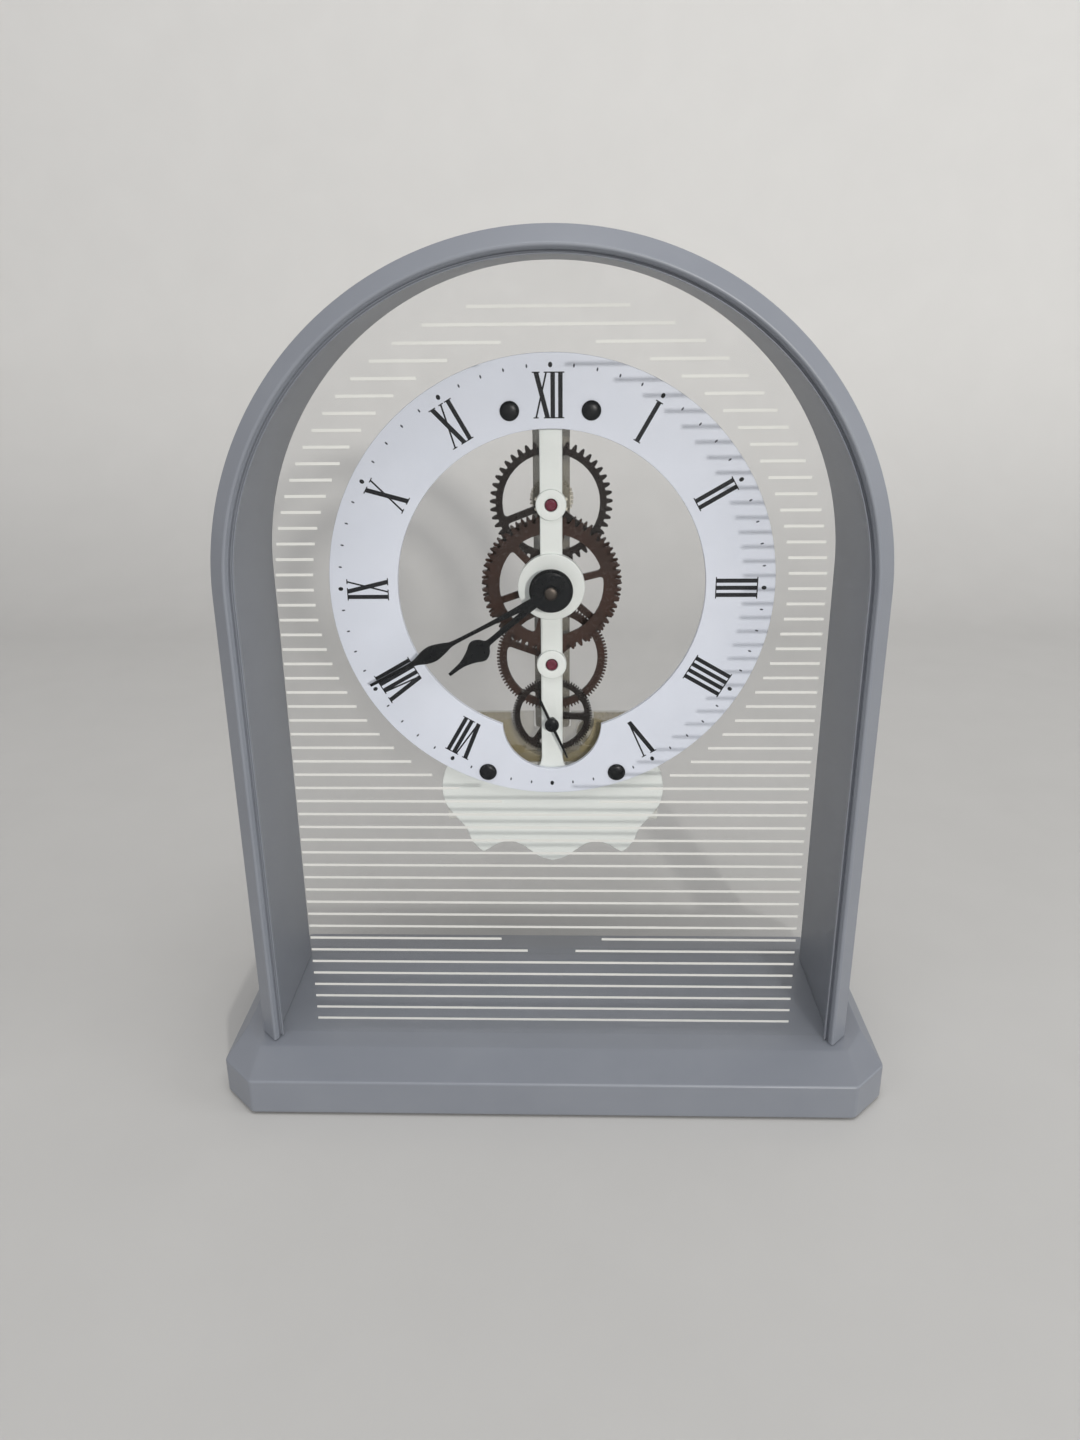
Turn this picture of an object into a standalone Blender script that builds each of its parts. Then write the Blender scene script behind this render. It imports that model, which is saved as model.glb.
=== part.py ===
# Skeleton mantel clock: a bevelled plinth, an arch-shaped case with a clear pane at each end,
# and a quartz movement that hangs on the rear pane behind an open chapter ring.
# Metres, Z up. The origin lies under the plinth's centre, on the surface the feet stand on.
# Depths of the movement are counted from the chapter ring's front face, towards the back.

import math

import bmesh
import bpy
from mathutils import Vector

MM = 0.001

# Clearances
GAP = 0.3 * MM            # between parts that seat on each other
FIT = 0.1 * MM            # radial, between a round part and the hole it sits or turns in
END_SHAKE = 0.4 * MM      # along the axis, between a turning part and its neighbour

# Plinth and feet
PLINTH_WIDTH = 165.0 * MM
PLINTH_MARGIN = 12.7 * MM       # from the case's front rim to the plinth's front face
PLINTH_SIDE = 9.2 * MM          # height of the upright sides
PLINTH_LIFT = 0.8 * MM          # the feet hold it this far off the table
BEVEL_RISE = 2.4 * MM
BEVEL_RUN_FRONT = 10.9 * MM
BEVEL_RUN_SIDE = 3.0 * MM
CORNER_CUT = 8.3 * MM
PLINTH_WALL = 2.4 * MM
FOOT_RADIUS = 5.0 * MM
FOOT_HEIGHT = 1.8 * MM
FOOT_INSET = 12.0 * MM
COVER_THICKNESS = 2.2 * MM
COVER_RECESS = 0.4 * MM

# Case
PLINTH_OVERHANG = 7.85 * MM         # the plinth's end stands this far out from the case
ARCH_HALF_WIDTH = PLINTH_WIDTH / 2 - PLINTH_OVERHANG
ARCH_CENTRE_HEIGHT = 114.4 * MM     # above the plinth's flat top
CASE_WALL = 4.05 * MM
RIM_BEVEL = 3.7 * MM
RIM_DEPTH = 3.9 * MM
RIM_CREST = 0.6 * MM
LIP_WIDTH = 1.6 * MM
LIP_SETBACK = 2.3 * MM
LIP_THICKNESS = 1.0 * MM
REBATE = 1.3 * MM
FRONT_PANE_THICKNESS = 1.5 * MM
REAR_PANE_THICKNESS = 2.0 * MM
PANE_TO_DIAL = 23.2 * MM            # from the front pane's back to the ring's front
CASE_BACK_MARGIN = 0.5 * MM

# Dial and hands
DIAL_HEIGHT = 111.1 * MM            # dial centre above the plinth's flat top
RING_OUTER = 54.1 * MM
RING_INNER = 37.4 * MM
RING_THICKNESS = 1.5 * MM
NOTCH_RADIUS = 12.5 * MM
HEAD_RADIUS = 2.25 * MM
HEAD_HEIGHT = 0.8 * MM
SHANK_RADIUS = 1.2 * MM
UPPER_SCREW = (9.4 * MM, 41.4 * MM)
LOWER_SCREW = (16.6 * MM, -48.3 * MM)
HAND_THICKNESS = 0.6 * MM
RING_TO_HAND = 0.8 * MM             # air between the ring and the second hand
HAND_SPACE = 1.3 * MM               # air between one hand and the next
MINUTE_HAND_LENGTH = 50.4 * MM
HOUR_HAND_LENGTH = 32.9 * MM
SECOND_HAND_LENGTH = 9.7 * MM
SECOND_TAIL_LENGTH = 7.2 * MM
HUB_RADIUS = 5.3 * MM
TIME_SHOWN = (7, 40, 26)

# Movement plates
PLATE_THICKNESS = 1.6 * MM
BAR_WIDTH = 5.4 * MM
JEWEL_BOSS = 3.7 * MM
CENTRE_BOSS = 8.2 * MM
BOSS_RISE = 0.9 * MM
JEWEL_RADIUS = 1.43 * MM
STRIP_WIDTH = 9.0 * MM
STRIP_THICKNESS = 1.5 * MM
PILLAR_RADIUS = 2.8 * MM
SHROUD_HALF_WIDTH = 29.0 * MM
SHROUD_TIP = 74.9 * MM

# Wheels: teeth and modules
WHEEL_THICKNESS = 1.0 * MM
MOTION_CENTRES = 19.8 * MM          # minute wheel's arbor above the dial's centre
CANNON_TEETH = 18
MINUTE_WHEEL_TEETH = 45
MINUTE_PINION_TEETH = 10
HOUR_WHEEL_TEETH = 48
MINUTE_MODULE = 2 * MOTION_CENTRES / (CANNON_TEETH + MINUTE_WHEEL_TEETH)
HOUR_MODULE = 2 * MOTION_CENTRES / (MINUTE_PINION_TEETH + HOUR_WHEEL_TEETH)
CENTRE_MODULE = 0.47 * MM
CENTRE_TEETH = 72
THIRD_PINION_TEETH = 12
THIRD_MODULE = 0.278 * MM
THIRD_TEETH = 100
SECONDS_PINION_TEETH = 10
SECONDS_MODULE = 0.225 * MM
SECONDS_TEETH = 90
INTERMEDIATE_PINION_TEETH = 15
MOTOR_MODULE = 0.16 * MM
INTERMEDIATE_TEETH = 50
ROTOR_PINION_TEETH = 10
INTERMEDIATE_BEARING = 118.0        # degrees clockwise from twelve, seen from the seconds arbor
ROTOR_BEARING = 90.0
ARBOR_RADIUS = 0.9 * MM
PIVOT_RADIUS = 0.45 * MM
CANNON_RADIUS = 1.3 * MM
PIPE_WALL = 1.1 * MM
SPOKE_COUNT = 3
SPOKE_WIDTH = 1.7 * MM
WHEEL_HUB_RADIUS = 3.6 * MM

# Motor housing and power supply
HOUSING_HALF_WIDTH = 33.0 * MM
HOUSING_HEIGHT = 10.3 * MM
HOUSING_WALL = 1.0 * MM
HOUSING_CORNER = 4.3 * MM
WELL_CLEARANCE = 0.55 * MM
WELL_WALL = 1.2 * MM
EAR_X = HOUSING_HALF_WIDTH + 1.0 * MM
EAR_DROP = 3.3 * MM
CHAMBER_MARGIN = 2.0 * MM           # solid corner at each end of the housing, beside the wall
COVER_PLATE = 1.1 * MM
CELL_RADIUS = 7.25 * MM
CELL_LENGTH = 50.5 * MM
CELL_DROP = 20.0 * MM               # cell axis below the seconds arbor
CELL_TRAVEL = 25.0 * MM
TRAY_WALL = 1.2 * MM
CONTACT_SPACE = 1.1 * MM
CONTACT_STRIP = 0.4 * MM
KNOB_RADIUS = 5.4 * MM
KNOB_LENGTH = 7.5 * MM
KNOB_EDGE = 0.6 * MM

# Levels above the table
PLINTH_BOTTOM = PLINTH_LIFT
PLINTH_SHOULDER = PLINTH_BOTTOM + PLINTH_SIDE
PLINTH_TOP = PLINTH_SHOULDER + BEVEL_RISE
DIAL_Z = PLINTH_TOP + DIAL_HEIGHT
ARCH_Z = PLINTH_TOP + ARCH_CENTRE_HEIGHT

# Arbor heights, counted from the dial's centre
CENTRE_CENTRES = CENTRE_MODULE * (CENTRE_TEETH + THIRD_PINION_TEETH) / 2
THIRD_CENTRES = THIRD_MODULE * (THIRD_TEETH + SECONDS_PINION_TEETH) / 2
SECONDS_CENTRES = SECONDS_MODULE * (SECONDS_TEETH + INTERMEDIATE_PINION_TEETH) / 2
MOTOR_CENTRES = MOTOR_MODULE * (INTERMEDIATE_TEETH + ROTOR_PINION_TEETH) / 2

# Depths, counted from the ring's front face towards the back
PLATE_FRONT = RING_THICKNESS + GAP
PLATE_BACK = PLATE_FRONT + PLATE_THICKNESS
HOUR_WHEEL_FRONT = PLATE_BACK + 0.6 * MM
HOUR_WHEEL_BACK = HOUR_WHEEL_FRONT + WHEEL_THICKNESS
MINUTE_WHEEL_FRONT = HOUR_WHEEL_BACK + END_SHAKE
MINUTE_WHEEL_BACK = MINUTE_WHEEL_FRONT + WHEEL_THICKNESS
CENTRE_WHEEL_FRONT = MINUTE_WHEEL_BACK + END_SHAKE
CENTRE_WHEEL_BACK = CENTRE_WHEEL_FRONT + WHEEL_THICKNESS
THIRD_WHEEL_FRONT = CENTRE_WHEEL_BACK + END_SHAKE
THIRD_WHEEL_BACK = THIRD_WHEEL_FRONT + WHEEL_THICKNESS
STRIP_FRONT = THIRD_WHEEL_BACK + END_SHAKE
STRIP_BACK = STRIP_FRONT + STRIP_THICKNESS
COVER_BACK = STRIP_BACK + GAP
COVER_FRONT = COVER_BACK - COVER_PLATE
REAR_PANE_FRONT = COVER_BACK + GAP
REAR_PANE_BACK = REAR_PANE_FRONT + REAR_PANE_THICKNESS
CASE_BACK = REAR_PANE_BACK + CASE_BACK_MARGIN
PANE_BACK = -PANE_TO_DIAL
PANE_FRONT = PANE_BACK - FRONT_PANE_THICKNESS
LIP_BACK = PANE_FRONT - GAP
LIP_FRONT = LIP_BACK - LIP_THICKNESS
CASE_CREST = LIP_FRONT - LIP_SETBACK
HOUSING_FRONT = PLATE_BACK + 0.9 * MM
HOUSING_BACK = COVER_FRONT - GAP
CASE_DEPTH = CASE_BACK - CASE_CREST
PLINTH_DEPTH = CASE_DEPTH + 2 * PLINTH_MARGIN
DIAL_Y = -PLINTH_DEPTH / 2 + PLINTH_MARGIN - CASE_CREST


def bearing(degrees):
    """Direction in the dial's plane, clockwise from twelve o'clock."""
    angle = math.radians(degrees)
    return math.sin(angle), math.cos(angle)


def step_from(place, degrees, distance):
    dx, dz = bearing(degrees)
    return place[0] + dx * distance, place[1] + dz * distance


MINUTE_AT = (0.0, MOTION_CENTRES)
CENTRE_AT = (0.0, 0.0)
THIRD_AT = (0.0, -CENTRE_CENTRES)
SECONDS_AT = (0.0, -CENTRE_CENTRES - THIRD_CENTRES)
INTERMEDIATE_AT = step_from(SECONDS_AT, INTERMEDIATE_BEARING, SECONDS_CENTRES)
ROTOR_AT = step_from(INTERMEDIATE_AT, ROTOR_BEARING, MOTOR_CENTRES)


# Colours are sRGB, as the eye sees them
def linear(hex_colour):
    values = [int(hex_colour[i:i + 2], 16) / 255 for i in (0, 2, 4)]
    return [v / 12.92 if v <= 0.04045 else ((v + 0.055) / 1.055) ** 2.4 for v in values]


def material(name, colour, roughness, metallic=0.0, alpha=1.0):
    mat = bpy.data.materials.new(name)
    mat.use_nodes = True
    shader = mat.node_tree.nodes["Principled BSDF"]
    shader.inputs["Base Color"].default_value = (*linear(colour), 1.0)
    shader.inputs["Roughness"].default_value = roughness
    shader.inputs["Metallic"].default_value = metallic
    shader.inputs["Alpha"].default_value = alpha
    mat.diffuse_color = (*linear(colour), alpha)
    return mat


def clear_scene():
    for obj in list(bpy.data.objects):
        bpy.data.objects.remove(obj, do_unlink=True)


def finish_mesh(name, bm, finish, place):
    bmesh.ops.recalc_face_normals(bm, faces=bm.faces)
    mesh = bpy.data.meshes.new(name)
    bm.to_mesh(mesh)
    bm.free()
    obj = bpy.data.objects.new(name, mesh)
    bpy.context.scene.collection.objects.link(obj)
    obj.location = place
    if finish:
        mesh.materials.append(finish)
    return obj


def dial_place(at, depth=0.0):
    return Vector((at[0], DIAL_Y + depth, DIAL_Z + at[1]))


def slab(name, outline, front, back, finish=None, holes=(), at=(0.0, 0.0)):
    """A flat piece parallel to the dial: outline and holes in (x, z), pushed from front to back."""
    bm = bmesh.new()
    for loop in (outline, *holes):
        corners = [bm.verts.new((x, front, z)) for x, z in loop]
        for a, b in zip(corners, corners[1:] + corners[:1]):
            bm.edges.new((a, b))
    bmesh.ops.triangle_fill(bm, edges=bm.edges[:], use_beauty=True, use_dissolve=False)
    pushed = bmesh.ops.extrude_face_region(bm, geom=bm.faces[:])
    moved = [v for v in pushed["geom"] if isinstance(v, bmesh.types.BMVert)]
    bmesh.ops.translate(bm, verts=moved, vec=(0.0, back - front, 0.0))
    return finish_mesh(name, bm, finish, dial_place(at))


def turned(name, profile, finish=None, at=(0.0, 0.0), sides=20, closed_loop=False):
    """A round piece on an axis square to the dial, from (radius, depth) points."""
    obj = revolve(name, profile, finish, sides, closed_loop, upright_axis=False)
    obj.location = dial_place(at)
    return obj


def turned_upright(name, profile, place, finish=None, sides=20, closed_loop=False):
    """A round piece on an upright axis, from (radius, height) points."""
    obj = revolve(name, profile, finish, sides, closed_loop, upright_axis=True)
    obj.location = place
    return obj


def revolve(name, profile, finish, sides, closed_loop, upright_axis):
    def point(radius, angle, height):
        x = radius * math.cos(angle)
        other = radius * math.sin(angle)
        return (x, other, height) if upright_axis else (x, height, other)

    bm = bmesh.new()
    rings = []
    for radius, height in profile:
        if radius == 0.0:
            rings.append([bm.verts.new(point(0.0, 0.0, height))])
            continue
        turn = [2 * math.pi * k / sides for k in range(sides)]
        rings.append([bm.verts.new(point(radius, a, height)) for a in turn])
    pairs = list(zip(rings, rings[1:]))
    if closed_loop:
        pairs.append((rings[-1], rings[0]))
    for low, high in pairs:
        for k in range(sides):
            n = (k + 1) % sides
            corners = [low[k % len(low)], low[n % len(low)], high[n % len(high)], high[k % len(high)]]
            corners = list(dict.fromkeys(corners))
            if len(corners) > 2:
                bm.faces.new(corners)
    obj = finish_mesh(name, bm, finish, (0, 0, 0))
    obj.data.shade_smooth()
    obj.data.set_sharp_from_angle(angle=math.radians(35))
    return obj


def boolean(target, tool, operation):
    """Cut or fuse, keep the result as the target's mesh and drop the tool."""
    step = target.modifiers.new("boolean", "BOOLEAN")
    step.operation = operation
    step.solver = "EXACT"
    step.object = tool
    bpy.context.view_layer.update()
    graph = bpy.context.evaluated_depsgraph_get()
    mesh = bpy.data.meshes.new_from_object(target.evaluated_get(graph))
    mesh.name = target.name
    target.modifiers.remove(step)
    target.data = mesh
    bpy.data.objects.remove(tool, do_unlink=True)
    return target


def cut(target, *tools):
    for tool in tools:
        boolean(target, tool, "DIFFERENCE")
    return target


def fuse(target, *tools):
    for tool in tools:
        boolean(target, tool, "UNION")
    return target


def drum(radius, front, back, at=(0.0, 0.0), sides=20, name="tool"):
    return turned(name, [(0.0, front), (radius, front), (radius, back), (0.0, back)], None, at, sides)


def block(x_low, x_high, front, back, z_low, z_high, name="tool", finish=None):
    corners = [(x_low, z_low), (x_high, z_low), (x_high, z_high), (x_low, z_high)]
    return slab(name, corners, front, back, finish)


def arc(centre, radius, start, end, count):
    """Points on a circle between two bearings, both ends included."""
    points = []
    for k in range(count + 1):
        dx, dz = bearing(start + (end - start) * k / count)
        points.append((centre[0] + radius * dx, centre[1] + radius * dz))
    return points


def circle(centre, radius, count):
    return arc(centre, radius, 0.0, 360.0, count)[:-1]


# Toothed wheels
def toothed(teeth, module, first_tooth, tip_share, root_share):
    """Outline with straight-flanked teeth, the first one centred on the given bearing."""
    tip = module * (teeth / 2 + 1.0)
    root = module * (teeth / 2 - 1.25)
    pitch = 360.0 / teeth
    crown = [(tip, -tip_share), (tip, tip_share)] if tip_share else [(tip, 0.0)]
    tooth = [(root, -root_share)] + crown + [(root, root_share)]
    points = []
    for k in range(teeth):
        centre = first_tooth + k * pitch
        for radius, share in tooth:
            dx, dz = bearing(centre + share * pitch / 2)
            points.append((radius * dx, radius * dz))
    return points


def wheel_outline(teeth, module, first_tooth):
    """Wheels have pointed teeth, pinions blunt ones, which leaves room for both to roll."""
    return toothed(teeth, module, first_tooth, 0.0, 0.62)


def pinion_outline(teeth, module, first_tooth):
    return toothed(teeth, module, first_tooth, 0.14, 0.5)


def meshing_tooth(driver_tooth, driver_teeth, follower_teeth, line):
    """Bearing of a follower's tooth so that it lies in mesh, the driver seeing it along line."""
    driver_pitch = 360.0 / driver_teeth
    follower_pitch = 360.0 / follower_teeth
    phase = (line - driver_tooth) / driver_pitch
    return line + 180.0 - follower_pitch * (0.5 - phase)


def spoke_windows(hub, rim, first_spoke):
    """The openings between the spokes."""
    windows = []
    pitch = 360.0 / SPOKE_COUNT
    for k in range(SPOKE_COUNT):
        start = first_spoke + k * pitch
        at_rim = math.degrees(math.asin(SPOKE_WIDTH / 2 / rim))
        at_hub = math.degrees(math.asin(SPOKE_WIDTH / 2 / hub))
        outside = arc((0, 0), rim, start + at_rim, start + pitch - at_rim, 9)
        inside = arc((0, 0), hub, start + pitch - at_hub, start + at_hub, 3)
        windows.append(outside + inside)
    return windows


def spoked_wheel(name, teeth, module, tooth, spoke, front, back, finish, at, hub=WHEEL_HUB_RADIUS,
                 bore=None):
    rim = module * (teeth / 2 - 1.25) - max(1.1 * MM, 2.2 * module)
    holes = spoke_windows(hub, rim, spoke)
    if bore:
        holes.append(circle((0, 0), bore, 16))
    return slab(name, wheel_outline(teeth, module, tooth), front, back, finish, holes, at)


def motion_teeth():
    """Bearings of one tooth of each wheel in the motion work."""
    cannon = 0.0
    minute_wheel = meshing_tooth(cannon, CANNON_TEETH, MINUTE_WHEEL_TEETH, 0.0)
    minute_pinion = 180.0
    hour_wheel = meshing_tooth(minute_pinion, MINUTE_PINION_TEETH, HOUR_WHEEL_TEETH, 180.0)
    return cannon, minute_wheel, minute_pinion, hour_wheel


def going_teeth():
    """Bearings of one tooth of each wheel in the going train and the motor."""
    centre = 180.0
    third_pinion = meshing_tooth(centre, CENTRE_TEETH, THIRD_PINION_TEETH, 180.0)
    third = 180.0
    seconds_pinion = meshing_tooth(third, THIRD_TEETH, SECONDS_PINION_TEETH, 180.0)
    seconds = INTERMEDIATE_BEARING
    intermediate_pinion = meshing_tooth(seconds, SECONDS_TEETH, INTERMEDIATE_PINION_TEETH,
                                        INTERMEDIATE_BEARING)
    intermediate = ROTOR_BEARING
    rotor = meshing_tooth(intermediate, INTERMEDIATE_TEETH, ROTOR_PINION_TEETH, ROTOR_BEARING)
    return centre, third_pinion, third, seconds_pinion, seconds, intermediate_pinion, intermediate, rotor


def hand_angles():
    hours, minutes, seconds = TIME_SHOWN
    minute = minutes + seconds / 60
    return 30.0 * (hours + minute / 60), 6.0 * minute, 6.0 * seconds


def octagon(half_x, half_y, cut_x, cut_y):
    quarter = [(half_x, half_y - cut_y), (half_x - cut_x, half_y)]
    points = quarter + [(-x, y) for x, y in reversed(quarter)]
    return points + [(-x, -y) for x, y in points]


def loft(name, sections, finish=None):
    """An upright solid through level outlines with equal numbers of corners."""
    bm = bmesh.new()
    rings = [[bm.verts.new((x, y, z)) for x, y in outline] for outline, z in sections]
    for low, high in zip(rings, rings[1:]):
        for k in range(len(low)):
            n = (k + 1) % len(low)
            bm.faces.new([low[k], low[n], high[n], high[k]])
    bm.faces.new(rings[0])
    bm.faces.new(rings[-1])
    return finish_mesh(name, bm, finish, (0, 0, 0))


PLINTH_HALF = (PLINTH_WIDTH / 2, PLINTH_DEPTH / 2)
COVER_BOTTOM = PLINTH_BOTTOM + COVER_RECESS
COVER_TOP = COVER_BOTTOM + COVER_THICKNESS
CAVITY_TOP = PLINTH_TOP - PLINTH_WALL
FOOT_AT = (PLINTH_HALF[0] - FOOT_INSET, PLINTH_HALF[1] - FOOT_INSET)
COVER_SCREW_SPACE = 16.0 * MM
COVER_SCREW_AT = (FOOT_AT[0] - COVER_SCREW_SPACE, FOOT_AT[1])
COVER_BOSS_RADIUS = 3.2 * MM
ARCH_SCREW_X = ARCH_HALF_WIDTH - CASE_WALL / 2
ARCH_SCREW_SPAN = 22.0 * MM
ARCH_SCREW_BACK = 8.2 * MM          # from the case's back edge to the rear screws
ARCH_SCREW_Y = (DIAL_Y + CASE_BACK - ARCH_SCREW_BACK - ARCH_SCREW_SPAN,
                DIAL_Y + CASE_BACK - ARCH_SCREW_BACK)
ARCH_SCREW_REACH = 7.0 * MM         # into the case's foot
PILOT_RADIUS = SHANK_RADIUS + FIT
UNDER_HEAD = 1.0 * MM
ARCH_HEAD_RADIUS = 1.9 * MM
FOUR_CORNERS = ((1, 1), (-1, 1), (-1, -1), (1, -1))


def plinth_ring(inset):
    return octagon(PLINTH_HALF[0] - inset, PLINTH_HALF[1] - inset, CORNER_CUT, CORNER_CUT)


def plinth_flat(inset):
    half_x = PLINTH_HALF[0] - BEVEL_RUN_SIDE - inset
    half_y = PLINTH_HALF[1] - BEVEL_RUN_FRONT - inset
    return octagon(half_x, half_y, CORNER_CUT - BEVEL_RUN_SIDE, CORNER_CUT)


def upright(radius, low, high, place, sides=12):
    profile = [(0.0, low), (radius, low), (radius, high), (0.0, high)]
    return turned_upright("tool", profile, (*place, 0.0), None, sides)


def make_plinth(finish):
    outside = [(plinth_ring(0.0), PLINTH_BOTTOM), (plinth_ring(0.0), PLINTH_SHOULDER),
               (plinth_flat(0.0), PLINTH_TOP)]
    plinth = loft("plinth", outside, finish)
    shoulder = PLINTH_SHOULDER - PLINTH_WALL
    inside = [(plinth_ring(PLINTH_WALL), 0.0), (plinth_ring(PLINTH_WALL), shoulder),
              (plinth_flat(PLINTH_WALL), CAVITY_TOP)]
    cut(plinth, loft("tool", inside))
    for sx, sy in FOUR_CORNERS:
        place = (sx * COVER_SCREW_AT[0], sy * COVER_SCREW_AT[1])
        fuse(plinth, upright(COVER_BOSS_RADIUS, COVER_TOP + GAP, CAVITY_TOP + 0.5 * MM, place))
        cut(plinth, upright(PILOT_RADIUS, 0.0, CAVITY_TOP - 1.0 * MM, place))
    for sx in (1, -1):
        for y in ARCH_SCREW_Y:
            cut(plinth, upright(PILOT_RADIUS, CAVITY_TOP - 4 * MM, PLINTH_TOP + MM, (sx * ARCH_SCREW_X, y)))
    return plinth


def make_plinth_cover(finish):
    inset = PLINTH_WALL + GAP
    edge = plinth_ring(inset)
    cover = loft("plinth_cover", [(edge, COVER_BOTTOM), (edge, COVER_TOP)], finish)
    for sx, sy in FOUR_CORNERS:
        foot = (sx * FOOT_AT[0], sy * FOOT_AT[1])
        screw = (sx * COVER_SCREW_AT[0], sy * COVER_SCREW_AT[1])
        cut(cover, upright(FOOT_RADIUS + GAP, 0.0, FOOT_HEIGHT + GAP, foot, 20))
        cut(cover, upright(PILOT_RADIUS, 0.0, COVER_TOP + MM, screw))
        cut(cover, upright(HEAD_RADIUS + GAP, 0.0, COVER_BOTTOM + UNDER_HEAD + GAP, screw))
    return cover


def screw_profile(head, head_height, length):
    """From the head's crown to the point; the underside of the head is at zero."""
    return [(0.0, -head_height), (0.75 * head, -head_height), (head, -0.5 * head_height), (head, 0.0),
            (SHANK_RADIUS, 0.0), (SHANK_RADIUS, length), (0.0, length)]


def make_feet_and_base_screws(rubber, steel):
    index = 0
    for sx, sy in FOUR_CORNERS:
        index += 1
        foot = [(0.0, 0.0), (FOOT_RADIUS - 0.4 * MM, 0.0), (FOOT_RADIUS, 0.4 * MM),
                (FOOT_RADIUS, FOOT_HEIGHT), (0.0, FOOT_HEIGHT)]
        turned_upright(f"foot_{index}", foot, (sx * FOOT_AT[0], sy * FOOT_AT[1], 0.0), rubber, 20)
        seat = COVER_BOTTOM + UNDER_HEAD
        place = (sx * COVER_SCREW_AT[0], sy * COVER_SCREW_AT[1], seat)
        profile = screw_profile(HEAD_RADIUS, UNDER_HEAD - FIT, CAVITY_TOP - 1.5 * MM - seat)
        turned_upright(f"cover_screw_{index}", profile, place, steel, 10)
    index = 0
    for sx in (1, -1):
        for y in ARCH_SCREW_Y:
            index += 1
            seat = CAVITY_TOP - GAP
            profile = screw_profile(ARCH_HEAD_RADIUS, UNDER_HEAD, PLINTH_TOP + ARCH_SCREW_REACH - seat)
            turned_upright(f"arch_screw_{index}", profile, (sx * ARCH_SCREW_X, y, seat), steel, 10)


# Case
CASE_INNER = ARCH_HALF_WIDTH - CASE_WALL
CASE_FOOT = PLINTH_TOP + GAP


def make_case_arch(finish):
    rim_outer = ARCH_HALF_WIDTH - RIM_BEVEL
    profile = [
        (ARCH_HALF_WIDTH, CASE_BACK),
        (ARCH_HALF_WIDTH, CASE_CREST + RIM_DEPTH),
        (rim_outer, CASE_CREST),
        (rim_outer - RIM_CREST, CASE_CREST),
        (CASE_INNER - LIP_WIDTH, LIP_FRONT),
        (CASE_INNER - LIP_WIDTH, LIP_BACK),
        (CASE_INNER, LIP_BACK),
        (CASE_INNER, REAR_PANE_FRONT - GAP),
        (CASE_INNER + REBATE, REAR_PANE_FRONT - GAP),
        (CASE_INNER + REBATE, CASE_BACK),
    ]
    drop = CASE_FOOT - ARCH_Z
    stations = [(90.0, drop)] + [(90.0 - 180.0 * k / 32, 0.0) for k in range(33)] + [(-90.0, drop)]
    bm = bmesh.new()
    rings = []
    for angle, lower in stations:
        dx, dz = bearing(angle)
        rings.append([bm.verts.new((n * dx, depth, n * dz + lower)) for n, depth in profile])
    for a, b in zip(rings, rings[1:]):
        for k in range(len(profile)):
            n = (k + 1) % len(profile)
            bm.faces.new([a[k], a[n], b[n], b[k]])
    bm.faces.new(rings[0])
    bm.faces.new(rings[-1])
    case = finish_mesh("case_arch", bm, finish, (0.0, DIAL_Y, ARCH_Z))
    for sx in (1, -1):
        for y in ARCH_SCREW_Y:
            hole_top = PLINTH_TOP + ARCH_SCREW_REACH + MM
            cut(case, upright(PILOT_RADIUS, PLINTH_TOP - MM, hole_top, (sx * ARCH_SCREW_X, y)))
    case.data.shade_smooth()
    case.data.set_sharp_from_angle(angle=math.radians(20))
    return case


def pane_outline(half_width):
    low = CASE_FOOT - DIAL_Z
    arch = arc((0.0, ARCH_Z - DIAL_Z), half_width, -90.0, 90.0, 40)
    return [(-half_width, low)] + arch + [(half_width, low)]


def make_front_pane(finish):
    return slab("front_pane", pane_outline(CASE_INNER - GAP), PANE_FRONT, PANE_BACK, finish)


# Chapter ring
def ring_hole():
    """The ring's opening: its inner circle with the seconds notch let into it."""
    drop = -SECONDS_AT[1]
    along = (drop * drop + RING_INNER * RING_INNER - NOTCH_RADIUS * NOTCH_RADIUS) / (2 * drop)
    half = math.sqrt(RING_INNER * RING_INNER - along * along)
    on_ring = 180.0 - math.degrees(math.atan2(half, along))
    on_notch = math.degrees(math.atan2(half, -(along - drop)))
    around = arc((0.0, 0.0), RING_INNER, -on_ring, on_ring, 60)
    notch = arc(SECONDS_AT, NOTCH_RADIUS, on_notch, 360.0 - on_notch, 16)
    return around + notch[1:-1]


def screw_places(place):
    return [(sx * place[0], place[1]) for sx in (1, -1)]


def make_dial_ring(finish):
    holes = [ring_hole()]
    for place in screw_places(UPPER_SCREW) + screw_places(LOWER_SCREW):
        holes.append(circle(place, PILOT_RADIUS, 12))
    return slab("dial_ring", circle((0, 0), RING_OUTER, 80), 0.0, RING_THICKNESS, finish, holes)


DIAL_SCREW_LENGTH = 6.2 * MM


def make_dial_screws(finish):
    index = 0
    for place in screw_places(UPPER_SCREW) + screw_places(LOWER_SCREW):
        index += 1
        profile = screw_profile(HEAD_RADIUS, HEAD_HEIGHT, DIAL_SCREW_LENGTH)
        screw = turned(f"dial_screw_{index}", [(r, d - 0.1 * MM) for r, d in profile], finish, place, 16)
        screw.data.set_sharp_from_angle(angle=math.radians(50))


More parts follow.
